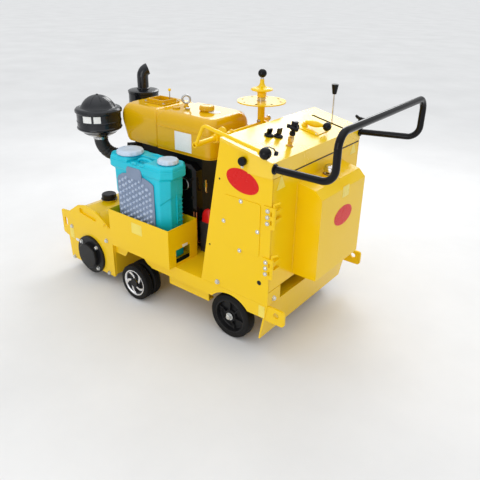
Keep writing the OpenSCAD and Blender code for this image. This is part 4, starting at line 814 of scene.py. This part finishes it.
FRAME_X, FRAME_L, FRAME_W = 980, 61, 50
FUEL_X, FLOAT_X, FLOAT_Y = ENGINE_X + 62, 940, HOPPER_Y - 20
top_bits = bmesh.new()
corners = [(-1, -1), (1, -1), (1, 1), (-1, 1)]
for reach, low, high in ((11.5, 0, 5), (0, 5, 20)):
    outer = [(FRAME_X + sx * (FRAME_L + reach), HOPPER_Y + sy * (FRAME_W + reach))
             for sx, sy in corners]
    inner = [(FRAME_X + sx * (FRAME_L - 8), HOPPER_Y + sy * (FRAME_W - 8)) for sx, sy in corners]
    rows = [[top_bits.verts.new(at(x, y, TOP_Z + z)) for x, y in ring]
            for ring, z in ((outer, low), (outer, high), (inner, high), (inner, low))]
    for low_row, high_row in zip(rows, rows[1:] + rows[:1]):
        for i in range(4):
            j = (i + 1) % 4
            top_bits.faces.new((low_row[i], low_row[j], high_row[j], high_row[i]))
turned(top_bits, [(0, 0), (33, 0), (35.5, 3), (38, 6), (37.6, 21), (35, 25), (31, 27), (14, 28),
                  (0, 28)], (FUEL_X, HOPPER_Y, TOP_Z), UP, 144)
for v in top_bits.verts:
    spoke = (v.co - at(FUEL_X, HOPPER_Y, 0)).xy
    if 0.0335 < spoke.length < 0.04 and v.co.z > at(0, 0, TOP_Z + 1).z:
        flute = 1 - 0.07 * max(0, math.cos(20 * math.atan2(spoke.y, spoke.x)))
        v.co.xy = at(FUEL_X, HOPPER_Y, 0).xy + spoke * flute
turned(top_bits, [(0, 0), (20, 0), (20, 6), (18, 8), (0, 8)], (ENGINE_X + 216, 76, TOP_Z), UP, 48)
turned(top_bits, [(0, 0), (14, 0), (14, 5), (10, 8), (9, 16), (0, 16)],
       (ENGINE_X + 202, HOPPER_Y, TOP_Z), UP, 32)
fix("hopper_top_parts", top_bits, gold, "chassis", 0.001, 34, ("hopper_fittings",))

eye_ring = bmesh.new()
lean = math.radians(40)
eye_path = [(802 + 20 * math.cos(a) * math.cos(lean), HOPPER_Y + 20 * math.cos(a) * math.sin(lean),
             TOP_Z + 38 + 20 * math.sin(a)) for a in [math.tau * k / 36 for k in range(37)]]
tube(eye_ring, eye_path, 5.4, 14)
tube(eye_ring, [(FLOAT_X, FLOAT_Y, TOP_Z + 5), (FLOAT_X, FLOAT_Y, TOP_Z + 60)], 2.8, 12)
turned(eye_ring, [(0, 0), (11, 0), (13, 3), (13, 9), (9, 12), (0, 12)],
       (ENGINE_X + 150, 62, TOP_Z - 1), UP, 6)
fix("lifting_eye", eye_ring, turned_steel, "chassis")


def ball(bm, centre, radius, steps=40, pitch=9):
    """A sphere turned about the upright, with a ring at each pitch of degrees."""
    turned(bm, [(0, -radius)] + [(radius * math.cos(a), radius * math.sin(a))
                                 for a in map(math.radians, range(pitch - 90, 90, pitch))]
           + [(0, radius)], centre, UP, steps)


float_ball = bmesh.new()
ball(float_ball, (FLOAT_X, FLOAT_Y, TOP_Z + 66), 8, 32, 15)
fix("float_ball", float_ball, yellow, "chassis")
grow("filler_frame_bolts", BOLTS,
     [(at(FRAME_X + sx * 66, HOPPER_Y + sy * 55, TOP_Z + 5), UP)
      for sx in (-1, 1) for sy in (-1, 1)],
     {**HEX, "Width": 0.010, "Height": 0.005, "Washer": 0.006}, "chassis")

# The oil-bath air cleaner on its ribbed rubber elbow, the silencer and the swept-back exhaust
# pipe, all of pressed steel in satin black with rolled seams.
pressed_black = grown_finish("pressed_black", (0.005, 0.006, 0.009), (0.009, 0.010, 0.013), 0.05,
                             (0.16, 0.26), 0.0012, 0.00004, coat=0.25, shine=0.3)
dull_rubber = grown_finish("elbow_rubber", (0.005, 0.005, 0.006), (0.010, 0.010, 0.011), 0.03,
                           (0.45, 0.60), 0.001, 0.0001)
FILTER_X, FILTER_Y, FILTER_Z, FILTER_R = 1215, 256, 811, 123
FILTER_STEPS = 192
filter_foot = (FILTER_X, FILTER_Y, FILTER_Z)
wall = [(84, 18)] + [(FILTER_R - inset, height) for inset, height in (
    (14, 36), (6, 41), (4, 46), (5, 51), (8, 54), (8, 76), (6, 78), (6, 84), (8, 86), (8, 124),
    (6, 128), (0.4, 130), (0, 134), (0.4, 141), (4, 146), (9, 150), (16, 151.5), (26, 153))]
dome = [(98 * math.cos(a), 117 + 98 * math.sin(a))
        for a in [math.radians(27 + 5.7 * k) for k in range(1, 11)]]
cleaner = bmesh.new()
turned(cleaner, [(0, 0), (52, 0), (60, 2), (66, 6)] + wall + [(90, 158)] + dome
       + [(6, 215), (6, 218), (4, 219), (0, 219)], filter_foot, UP, FILTER_STEPS)
for v in cleaner.verts:
    spoke = (v.co - at(FILTER_X, FILTER_Y, 0)).xy
    height = (v.co.z - at(0, 0, FILTER_Z).z) * 1000
    if height > 152 and 0.010 < spoke.length < 0.089:
        step = round(math.atan2(spoke.y, spoke.x) / math.tau * FILTER_STEPS)
        if step % 24 == 12:
            v.co.z -= 0.0022
fix("air_cleaner", cleaner, pressed_black, "chassis", 0.0006, 24, ("air_filter",))
clamp = bmesh.new()
turned(clamp, [(66.3, 5), (67.5, 5), (87.6, 18.4), (86.6, 19.2), (66.3, 6.5)], filter_foot, UP, 96,
       closed=True)
turned(clamp, [(36.6, 3), (40, 3), (40, 15), (36.6, 15)], (FILTER_X, FILTER_Y, FILTER_Z - 20), UP,
       72, closed=True)
for k, reach in ((0, 9), (1, 6)):
    angle = math.radians(128 + 20 * k)
    out = (math.cos(angle), math.sin(angle), 0)
    turned(clamp, [(0, 0), (4, 0), (4, reach), (0, reach)],
           (FILTER_X + 39 * out[0], FILTER_Y + 39 * out[1], FILTER_Z - 11), out, 6)
fix("cleaner_clamps", clamp, turned_steel, "chassis")

ELBOW_TURN, ELBOW_BEND, ELBOW_RUN, ELBOW_R = math.radians(233), 98, 40, 36.5
elbow_path, elbow_radii = [(FILTER_X, FILTER_Y, FILTER_Z - 1)], [ELBOW_R]
for k in range(61):
    along = k / 60 * (ELBOW_BEND * math.pi / 2 + ELBOW_RUN)
    bent = min(along / ELBOW_BEND, math.pi / 2)
    out = ELBOW_BEND * (1 - math.cos(bent)) + max(0, along - ELBOW_BEND * math.pi / 2)
    elbow_path.append((FILTER_X + out * math.cos(ELBOW_TURN),
                       FILTER_Y + out * math.sin(ELBOW_TURN),
                       FILTER_Z - 20 - ELBOW_BEND * math.sin(bent)))
    elbow_radii.append(ELBOW_R - (1.6 if k % 6 in (1, 2) and 14 < k < 50 else 0))
elbow = bmesh.new()
tube(elbow, elbow_path, elbow_radii, 48)
fix("intake_bellows", elbow, dull_rubber, "chassis", replaces=("intake_elbow",))

MUFFLER_X, MUFFLER_Y, MUFFLER_Z = 1246, -98, 800
dress("muffler", pressed_black, 0.0015)
seams = bmesh.new()
for z in (22, 70, 136, 182):
    turned(seams, [(84.6, z - 1.6), (86.4, z), (84.6, z + 1.6)],
           (MUFFLER_X, MUFFLER_Y, MUFFLER_Z), UP, 96, closed=True)
fix("muffler_seams", seams, pressed_black, "chassis")
PIPE_Z, PIPE_R, PIPE_H, PIPE_BEND = 1006.3, 32, 65.7, 44
PIPE_TURN, PIPE_SWEEP = math.radians(236), math.radians(74)
pipe_way = [(MUFFLER_X, MUFFLER_Y, PIPE_Z + h) for h in (0, 3, 6, PIPE_H / 2, PIPE_H)]
for k in range(1, 15):
    bent = PIPE_SWEEP * k / 14
    out = PIPE_BEND * (1 - math.cos(bent))
    pipe_way.append((MUFFLER_X + out * math.cos(PIPE_TURN), MUFFLER_Y + out * math.sin(PIPE_TURN),
                     PIPE_Z + PIPE_H + PIPE_BEND * math.sin(bent)))
pipe = bmesh.new()
tube(pipe, pipe_way, [PIPE_R + 5] * 2 + [PIPE_R] * 17, 64, 2.5)
fix("swept_pipe", pipe, pressed_black, "chassis", replaces=("exhaust_pipe",))

# The battery beside the engine in its black moulded case with a lid, and over its terminal a
# boot of red plastic that narrows upwards in rounded steps.
case_black = grown_finish("battery_case", (0.020, 0.020, 0.022), (0.035, 0.035, 0.037), 0.04,
                          (0.40, 0.55), 0.0008, 0.00008, dust=0.05)
red_plastic = grown_finish("red_plastic", (0.72, 0.006, 0.008), (0.62, 0.005, 0.007), 0.05,
                           (0.30, 0.45), 0.0012, 0.00006)
dress("battery", case_black, 0.003)
boot = bmesh.new()
stacked(boot, [(pillow(width, depth, min(width, depth) / 3), z) for z, width, depth in
               ((449.5, 60, 38), (461, 60, 38), (486, 56, 36), (500, 48, 32), (512, 34, 24),
                (518, 18, 14))], (552, 143, 0))
fix("terminal_boot", boot, red_plastic, "chassis", replaces=("battery_cap",))

# The cabinet: sloping side panels and front of sheet steel under a folded lid in the same yellow,
# painted a little paler there as painted light of the open sky, with a hand cover held by pan
# screws and a few holes left open for hoses, drawn as dark discs of painted shade.
for node in ("panel_left", "panel_right", "panel_front"):
    dress(node, yellow, 0.0012)
# The lid's yellow is a little paler than the rest as painted light of the open sky on this top; its
# higher shine is real gloss.
lid_yellow_lit_paler = grown_finish("lid_paint_lit_paler", (0.95, 0.63, 0.010), (0.93, 0.61, 0.008), 0.20,
                          (0.22, 0.28), 0.0016, 0.00003, dust=0.06, shine=0.8)
dress("lid", lid_yellow_lit_paler, 0.0028)
dress("hand_cover", yellow, 0.0010)
REAR_FACE_X = 8
LID_REAR_Z, LID_SLOPE = 936, (993 - 936) / (276 - REAR_FACE_X)


def on_lid(x):
    """Height of the lid's upper face at x."""
    return LID_REAR_Z + (x - REAR_FACE_X) * LID_SLOPE


PAN = {"Sides": 24, "Width": 0.013, "Height": 0.0065, "Washer": 0.0095, "Crown": 0.5,
       "Finish": zinc}
screws = [(at(x, 379.3, z), LEFT) for x, z in ((161, 740), (253, 625), (71, 625), (164, 507))]
grow("cover_screws", BOLTS, screws, PAN, "chassis")
hinge_bolts = [(at(22, 381, foot + lift), LEFT) for foot in (420, 656) for lift in (22, 50, 78)]
grow("hinge_bolts", BOLTS, hinge_bolts, {**PAN, "Width": 0.014, "Height": 0.008}, "chassis")
grow("panel_screws", BOLTS, [(at(159, SIDE_Y + 0.2, 891), LEFT)],
     {**PAN, "Width": 0.010, "Washer": 0.007}, "chassis")

# Dark discs just proud of the panels: painted shade standing for the insides of open holes.
shadow = grown_finish("painted_hole_shade", (0.006, 0.005, 0.004), (0.012, 0.010, 0.008), 0.02,
                      (0.8, 0.95), 0.002, 0.0001)
hole_shades = bmesh.new()
hose_holes = ((280, 812, 4.5), (338, 481, 4.5))
for side, facing, places in ((1, LEFT, ((56, 382, 11), *hose_holes, (18, 884, 3))),
                             (-1, RIGHT, hose_holes)):
    for x, z, radius in places:
        turned(hole_shades, [(radius, 0.1), (radius, 0.4), (0, 0.4)], (x, side * SIDE_Y, z), facing, 32)
fix("panel_hole_shades", hole_shades, shadow, "chassis")

# Blank plates of fired enamel on the skirts, the box, the hopper, the door and its tank: red
# ovals, pale yellow rectangles and triangles, and white patches, all bare and of one colour each.
red_enamel = grown_finish("red_enamel", (0.72, 0.008, 0.006), (0.68, 0.007, 0.005), 0.06,
                          (0.22, 0.30), 0.001, 0.00002, shine=0.25)
pale_enamel = grown_finish("pale_enamel", (0.92, 0.74, 0.12), (0.86, 0.68, 0.10), 0.05,
                           (0.25, 0.36), 0.001, 0.00003)
white_enamel = grown_finish("white_enamel", (0.86, 0.86, 0.83), (0.78, 0.78, 0.76), 0.04,
                            (0.25, 0.36), 0.001, 0.00003)


def oval(width, height, steps=56):
    """The outline of an ellipse about its middle, anticlockwise."""
    turns = [math.tau * k / steps for k in range(steps)]
    return [(width / 2 * math.cos(a), height / 2 * math.sin(a)) for a in turns]


def plate(name, outline, origin, across, finish, up=UP, body="chassis"):
    """A thin blank plate of one colour on a flat face."""
    blank = bmesh.new()
    drawn(blank, outline, origin, across, up, 0.7)
    fix(name, blank, finish, body)


SKIRT_Y, DRUM_SIDE_Y = SIDE_Y + 0.1, SIDE_Y + 20.1
tipped = (-math.cos(math.radians(8)), 0, -math.sin(math.radians(8)))
plate("side_badge", oval(170, 101), (158, SKIRT_Y, 828), tipped, red_enamel)
plate("skirt_plate", pillow(32, 58, 3), (37, SKIRT_Y, 241), BACK, pale_enamel)
plate("drum_plate", pillow(36, 62, 3), (1385, DRUM_SIDE_Y, 224), BACK, pale_enamel)
plate("drum_stop_plate", oval(40, 18), (1337, DRUM_SIDE_Y, 192), BACK, white_enamel)
plate("box_plate", pillow(76, 58, 3), (792, 415.1, 431), BACK, pale_enamel)
plate("box_window_plate", pillow(36, 15, 2), (568.9, 300, 372), RIGHT, white_enamel)
plate("hopper_plate", pillow(112, 96, 2), (682, 174.1, 852), BACK, white_enamel)
plate("cap_plate", oval(70, 52), (612, 16, TOP_Z + 0.1), FRONT, white_enamel, LEFT)
triangle = [(-31, -28), (31, -28), (0, 30)]
for side, name in ((1, "left"), (-1, "right")):
    plate("door_notice_" + name, triangle, (7.8, side * 315, 843), RIGHT, pale_enamel,
          body="door")
TANK_FACE_X = -115.2
plate("tank_badge", oval(166, 92), (TANK_FACE_X, -24, 620), RIGHT, red_enamel,
      body="door")
plate("tank_notice", pillow(60, 52, 2), (TANK_FACE_X, -27, 735), RIGHT, pale_enamel,
      body="door")
PATCH_R = FILTER_R - 7.6
patches = bmesh.new()
for start, end in ((98, 122), (128, 146)):
    turns = [math.radians(start + (end - start) * k / 8) for k in range(9)]
    rows = [[patches.verts.new(at(FILTER_X + PATCH_R * math.cos(a),
                                  FILTER_Y + PATCH_R * math.sin(a), FILTER_Z + z)) for a in turns]
            for z in (88, 122)]
    for k in range(8):
        patches.faces.new((rows[0][k + 1], rows[0][k], rows[1][k], rows[1][k + 1]))
fix("cleaner_patches", patches, white_enamel, "chassis")

# The rear door on its lift-off hinges, with a black rubber strip along its top edge as painted
# shade of the gap under the lid's lip, and the hydraulic tank welded to it by a long bead; the tank
# has a chromed breather on a cork seal, and a drain.
dress("rear_door", yellow, 0.0016)
dress("hydraulic_tank", yellow, 0.0045, 20)
dress("hinge_leaves", yellow, 0.0010)
# A black strip along the door's top edge: painted shade of the gap under the lid's lip.
gap_shade_strip = bmesh.new()
drawn(gap_shade_strip, pillow(652, 4.4, 1.5), (8.3, -42, 866.2), RIGHT, UP, 1.5)
fix("gap_shade_strip", gap_shade_strip, dull_rubber, "door")


def weld_run(bm, start, end, thick=2.6):
    """A run of weld with its ripples from start to end."""
    a, b = Vector(start), Vector(end)
    count = max(2, int((b - a).length / 2.5))
    path = [tuple(a + (b - a) * k / count) for k in range(count + 1)]
    tube(bm, path, [thick + 0.7 * (k % 2) for k in range(count + 1)], 8)


bead = bmesh.new()
weld_run(bead, (7.5, 186, 366), (7.5, 186, 804))
weld_run(bead, (7.5, -218, 366), (7.5, -218, 804))
weld_run(bead, (7.5, -216, 807), (7.5, 184, 807))
fix("tank_welds", bead, yellow, "door")
chrome = grown_finish("chrome", (0.72, 0.70, 0.68), (0.58, 0.55, 0.52), 0.03, (0.06, 0.14), 0.0006,
                      0.00002, metal=1.0)
seal_brown = grown_finish("cork_seal", (0.20, 0.09, 0.04), (0.14, 0.06, 0.03), 0.01, (0.6, 0.8),
                          0.0006, 0.0001)
FILLER_X, FILLER_Y, FILLER_Z, SCREW_R = -45, -4, 806.3, 29
filler_foot = (FILLER_X, FILLER_Y, FILLER_Z)
breather = bmesh.new()
turned(breather, [(0, 3), (33, 3), (33, 6), (24, 8), (21, 9), (21, 12), (32, 14), (34, 16),
                  (34, 27), (33, 31), (30, 36), (25, 39.5), (16, 41.5), (6, 42), (0, 42)],
       filler_foot, UP, 96)
fix("tank_breather", breather, chrome, "door", replaces=("tank_filler",))
seal = bmesh.new()
turned(seal, [(0, 0.2), (36, 0.2), (36, 3), (0, 3)], filler_foot, UP, 64)
fix("breather_seal", seal, seal_brown, "door")
grow("breather_screws", BOLTS,
     [(at(FILLER_X + SCREW_R * math.cos(a), FILLER_Y + SCREW_R * math.sin(a), FILLER_Z + 6), UP)
      for a in [math.tau * k / 6 for k in range(6)]],
     {**PAN, "Width": 0.006, "Height": 0.003, "Washer": 0.004}, "door")
drain = bmesh.new()
turned(drain, [(0, 0), (11, 0), (11, 6), (8, 9), (0, 9)], (-60, -216.8, 392), RIGHT, 6)
fix("tank_drain", drain, brass, "door", 0.0006)

# Behind the open gap under the door: the end of the pump in yellow metal, with its two rubber
# hoses, one up to the valves and one forward along the deck.
pump = bmesh.new()
turned(pump, [(0, 0), (26, 0), (30, 4), (30, 30), (22, 34), (22, 70), (0, 70)], (70, -40, 314),
       FRONT, 48)
turned(pump, [(0, 0), (10, 0), (10, 16), (0, 16)], (88, -40, 343), UP, 6)
fix("pump_end", pump, brass, "chassis", 0.001)
hoses = bmesh.new()
tube(hoses, [(88, -40, 356), (88, -38, 420), (80, -20, 480), (60, 20, 520), (40, 60, 540)], 9, 14)
tube(hoses, [(80, -10, 314), (90, 60, 300), (120, 150, 296), (200, 240, 296), (300, 290, 296)], 9,
     14)
fix("pump_hoses", hoses, dull_rubber, "chassis")

# The handlebar: one glossy black tube that leaves the cabinet low, turns up at two rear corners
# and crosses behind at hand height, with a collar where each leg enters the cabinet.


def rounded_path(points, bend, steps=12):
    """A path through points whose corners are turned at one bend radius."""
    path = [points[0]]
    for a, b, c in zip(points, points[1:], points[2:]):
        a, b, c = Vector(a), Vector(b), Vector(c)
        back, ahead = (a - b).normalized(), (c - b).normalized()
        half = back.angle(ahead) / 2
        reach = bend / math.tan(half)
        centre = b + (back + ahead).normalized() * bend / math.sin(half)
        start, end = b + back * reach - centre, b + ahead * reach - centre
        for k in range(steps + 1):
            swing = start.normalized().slerp(end.normalized(), k / steps)
            path.append(tuple(centre + bend * swing))
    return path + [points[-1]]


BAR_X, BAR_Y, BAR_LOW, BAR_HIGH, LEG_Y, LEG_Z = -271.5, 401, 927, 1111, 370, 913
bar = bmesh.new()
corners = [(8, LEG_Y, LEG_Z), (BAR_X, BAR_Y, BAR_LOW), (BAR_X, BAR_Y, BAR_HIGH),
           (BAR_X, -BAR_Y, BAR_HIGH), (BAR_X, -BAR_Y, BAR_LOW), (8, -LEG_Y, LEG_Z)]
tube(bar, rounded_path(corners, 58), 14.6, 32)
for side in (1, -1):
    turned(bar, [(0, 0), (20.5, 0), (21.5, 1.2), (21.5, 5), (20, 7), (15.4, 8.5), (0, 8.5)],
           (7, side * (LEG_Y + 0.2), LEG_Z), BACK, 48)
fix("handlebar_tube", bar, gloss_black, "chassis", replaces=("handlebar",))

# The depth screw's column with its index disc, and above it the turned crank wheel with a black
# ball on a bright stem; bright collars and a nut sit under the wheel and on the column's sleeve.
COLUMN_X, COLUMN_Y, COLUMN_TOP = 424, -118, 1046
column_head = (COLUMN_X, COLUMN_Y, COLUMN_TOP)
dress("depth_column", yellow, 0.0008)
wheel = bmesh.new()
turned(wheel, [(0, 12), (17, 12), (22, 19), (22, 38), (26, 43), (34, 46.5), (50, 49.5), (54, 52),
               (54, 55), (51, 58.5), (42, 61.5), (28, 65), (19, 70), (14, 77), (11, 84), (10, 100),
               (9, 103), (0, 103)], column_head, UP, 96)
fix("crank_wheel", wheel, yellow, "chassis", replaces=("depth_crank",))
collar = bmesh.new()
turned(collar, [(0, 0), (23, 0), (23, 4), (20.5, 5), (20.5, 11), (23, 12), (23, 16), (0, 16)],
       column_head, UP, 48)
turned(collar, [(10.8, 0), (14, 0), (14.5, 2), (14.5, 5), (13, 6), (10.8, 6)],
       (COLUMN_X, -180, 949), RIGHT, 40, closed=True)
turned(collar, [(0, 0), (9, 0), (9, 9), (7, 11), (0, 11)], (COLUMN_X, -103, 948), LEFT, 6)
turned(collar, [(0, 102), (8, 102), (8, 114), (0, 114)], column_head, UP, 32)
fix("crank_collar", collar, chrome, "chassis", 0.0004)

BALL_R = 25
lever_end = (46, 380, on_lid(46) + BALL_R + 1)
grips = bmesh.new()
ball(grips, (COLUMN_X, COLUMN_Y, COLUMN_TOP + 130), 21)
ball(grips, lever_end, BALL_R)
tube(grips, [(84, 345, 972), (72, 345, 983), (50, 345, 988), (30, 345, 983), (20, 345, 972),
             (18, 345, 958)], 2.6, 12)
drawn(grips, [(-10, -7), (8, -9), (12, 4), (2, 9), (-8, 6)], (26, 341, 966), RIGHT, UP, 9)
fix("ball_grips", grips, gloss_black, "chassis")

# The clutch lever: a yellow rod cranked back over the lid from a cross tube, which turns in three
# plates with round ends on the cabinet's front and joins a short sleeve on the depth column.
CLUTCH_X, CLUTCH_Z = 419, 932
crook = bmesh.new()
tube(crook, rounded_path([(CLUTCH_X, 368, CLUTCH_Z), (CLUTCH_X - 44, 368, CLUTCH_Z + 92),
                          (62, 380, lever_end[2] + 2)], 24), 8, 24)
turned(crook, [(0, 0), (12, 0), (12, 20), (0, 20)], (76, 380, lever_end[2] + 1),
       (-0.999, 0, -0.03), 24)
turned(crook, [(0, 0), (10.8, 0), (12.8, 2), (12.8, 544.5), (11.5, 546), (8, 546), (8, 530),
               (0, 530)], (CLUTCH_X, -167, CLUTCH_Z), LEFT, 48)
turned(crook, [(13, 0), (19, 0), (20, 1), (20, 15), (19, 16), (13, 16)],
       (CLUTCH_X, 232, CLUTCH_Z), LEFT, 40, closed=True)
for y, end_x, end_z, radius in ((224, 386, 966, 23), (120, 298, 902, 19), (-130, 298, 902, 19)):
    lean = math.atan2(end_z - CLUTCH_Z, CLUTCH_X - end_x)
    lug = [(a + radius * math.cos(lean + math.radians(d)),
            b + radius * math.sin(lean + math.radians(d)))
           for a, b, turns in ((-CLUTCH_X, CLUTCH_Z, range(90, 271, 15)),
                               (-end_x, end_z, range(-90, 91, 15))) for d in turns]
    drawn(crook, lug, (0, y, 0), BACK, UP, 8)
turned(crook, [(0, 0), (10.5, 0), (10.5, 70), (0, 70)], (COLUMN_X, -116, 949), RIGHT, 40)
fix("clutch_crook", crook, yellow, "chassis", 0.0008, replaces=("clutch_lever",))

# On the lid: a plate with a short yellow lever, the long chromed lever in its slot with a tapered
# grip, two wing knobs, a lobed knob on a brass stem and a butterfly knob at the far edge; a knob
# stands on each side of the cabinet.
tilt = math.atan(LID_SLOPE)
LID_UP = (-math.sin(tilt), 0, math.cos(tilt))
LID_ON = (math.cos(tilt), 0, math.sin(tilt))
PLATE_X, PLATE_Y, LEVER_Y, GRIP_Y = 64, -98, -92, -112
SLOT_X, SLOT_Y = 108, -263


def over_lid(x, y, along=0.0, lift=0.0):
    """A point at x, y on the lid, then along it forwards and lift above it."""
    return (x + along * LID_ON[0] + lift * LID_UP[0], y,
            on_lid(x) + along * LID_ON[2] + lift * LID_UP[2])


lever_set = bmesh.new()
drawn(lever_set, pillow(120, 108, 4), over_lid(PLATE_X, PLATE_Y, 60, 0.5), LID_ON, LEFT, 3)
turned(lever_set, [(0, 0), (15, 0), (15, 3), (11, 6), (10, 18), (0, 18)],
       over_lid(PLATE_X, LEVER_Y, 96, 3.4), LID_UP, 32)
paddle = [over_lid(PLATE_X, LEVER_Y - 0.21 * s, 96 - s, 21 + 0.13 * s)
          for s in (0, 14, 30, 50, 64, 76, 86, 100)]
tube(lever_set, paddle, [8, 11, 14, 15, 12, 8, 6.5, 6.5], 20)
fix("lever_plate", lever_set, yellow, "chassis", 0.0006,
    replaces=("console_levers",))
plate_screws = [(at(*over_lid(PLATE_X, PLATE_Y + sy * 45, 60 + sx * 51, 3.4)), LID_UP)
                for sx in (-1, 1) for sy in (-1, 1)]
grow("plate_screws", BOLTS, plate_screws,
     {**PAN, "Width": 0.007, "Height": 0.0035, "Washer": 0.0048}, "chassis")

LOBED_X, LOBED_Y, FAR_X, FAR_Y = 73, 164, 21, -368
NEAR_KNOB, FAR_KNOB = (152, 918), (60, 905)
knobs = bmesh.new()
ball(knobs, over_lid(PLATE_X, GRIP_Y, -6, 34), 20)
turned(knobs, [(0, 0), (9, 0), (10, 2), (16.5, 42), (17, 45), (15.5, 46), (0, 46)],
       (SLOT_X, SLOT_Y, on_lid(SLOT_X) + 140), UP, 48)
for x, y, height, facing in ((179, 167, 34, RIGHT), (151, 135, 40, LEFT)):
    turned(knobs, [(0, 0), (21, 0), (21, 5), (17, 9), (9, 12), (0, 12)], over_lid(x, y, 0, 0.5),
           LID_UP, 40)
    top = over_lid(x, y, 0, 11)
    wing = [(-17, 0), (17, 0), (16, height - 14), (11, height - 10), (-11, height - 10),
            (-16, height - 14)]
    drawn(knobs, wing, (top[0] - 4, y, top[2]), facing, LID_UP, 8 * facing[1])
foot = over_lid(LOBED_X, LOBED_Y, 0, 0.5)
turned(knobs, [(0, 46), (11, 46), (13, 49), (13, 59), (9, 63), (9, 68), (16, 72), (22, 78),
               (22, 84), (15, 88), (14.5, 90), (14.5, 105), (12.5, 109), (0, 109)], foot, LID_UP,
       40)
for k in range(3):
    angle = math.tau * k / 3 + 0.5
    lobe = Vector(over_lid(LOBED_X, LOBED_Y, 23 * math.cos(angle), 82))
    ball(knobs, tuple(lobe + Vector((0, 23 * math.sin(angle), 0))), 9.5, 20)
turned(knobs, [(0, 0.4), (15, 0.4), (15, 4), (19, 6), (19, 17), (17, 20), (0, 20)],
       (NEAR_KNOB[0], SIDE_Y, NEAR_KNOB[1]), LEFT, 48)
turned(knobs, [(0, 3.9), (9, 3.9), (9, 14), (22, 16), (22, 28), (20, 29.8), (0, 29.8)],
       (FAR_KNOB[0], -SIDE_Y, FAR_KNOB[1]), RIGHT, 48)
turned(knobs, [(0, 0), (11, 0), (11, 8), (6, 10), (6, 30), (10, 33), (10, 45), (8, 48), (0, 48)],
       over_lid(FAR_X, FAR_Y, 0, 0.5), LID_UP, 24)
for way in (1, -1):
    tube(knobs, [over_lid(FAR_X, FAR_Y, way * along, lift)
                 for along, lift in ((4, 39), (15, 41), (26, 46))], [6, 8, 5], 16)
for v in knobs.verts:
    for centre, side in ((NEAR_KNOB, 1), (FAR_KNOB, -1)):
        middle = at(centre[0], 0, centre[1])
        spoke = Vector((v.co.x - middle.x, v.co.z - middle.z))
        if v.co.y * side > 0.3795 and 0.0175 < spoke.length < 0.0225:
            spoke *= 1 - 0.05 * (math.sin(20 * math.atan2(spoke.y, spoke.x)) > 0)
            v.co.x, v.co.z = middle.x + spoke.x, middle.z + spoke.y
fix("console_grips", knobs, gloss_black, "chassis", 0.0005,
    replaces=("console_knobs",))

stems = bmesh.new()
tube(stems, [(SLOT_X, SLOT_Y, on_lid(SLOT_X) - 55), (SLOT_X, SLOT_Y, on_lid(SLOT_X) + 142)], 3.5,
     16)
turned(stems, [(0, 0), (7, 0), (7, 30), (0, 30)], over_lid(PLATE_X, GRIP_Y, -6, 12), LID_UP, 16)
fix("chrome_stems", stems, chrome, "chassis")
bases = bmesh.new()
turned(bases, [(0, 0), (19, 0), (19, 4), (12, 6), (12, 18), (15, 20), (15, 38), (11, 40),
               (11, 46.2), (0, 46.2)], foot, LID_UP, 6)
fix("brass_bases", bases, brass, "chassis", 0.0005)

# Painted shade where things lie open: dark strips along the two edges of the long lever's slot in
# the lid, and dark discs over the eight holes round the index disc of the depth column.
slot_and_hole_shades = bmesh.new()
for y in (SLOT_Y - 4.2, SLOT_Y + 4.2):
    tube(slot_and_hole_shades, [over_lid(42, y, 0, 0.3), over_lid(219, y, 0, 0.3)], 1.9, 6)
for k in range(8):
    way = math.radians(45 * k + 20)
    turned(slot_and_hole_shades, [(0, 0), (6.5, 0), (6.5, 0.5), (0, 0.5)],
           (COLUMN_X + 96 * math.cos(way), COLUMN_Y + 96 * math.sin(way), COLUMN_TOP + 0.1), UP, 24)
fix("slot_and_hole_shades", slot_and_hole_shades, shadow, "chassis")
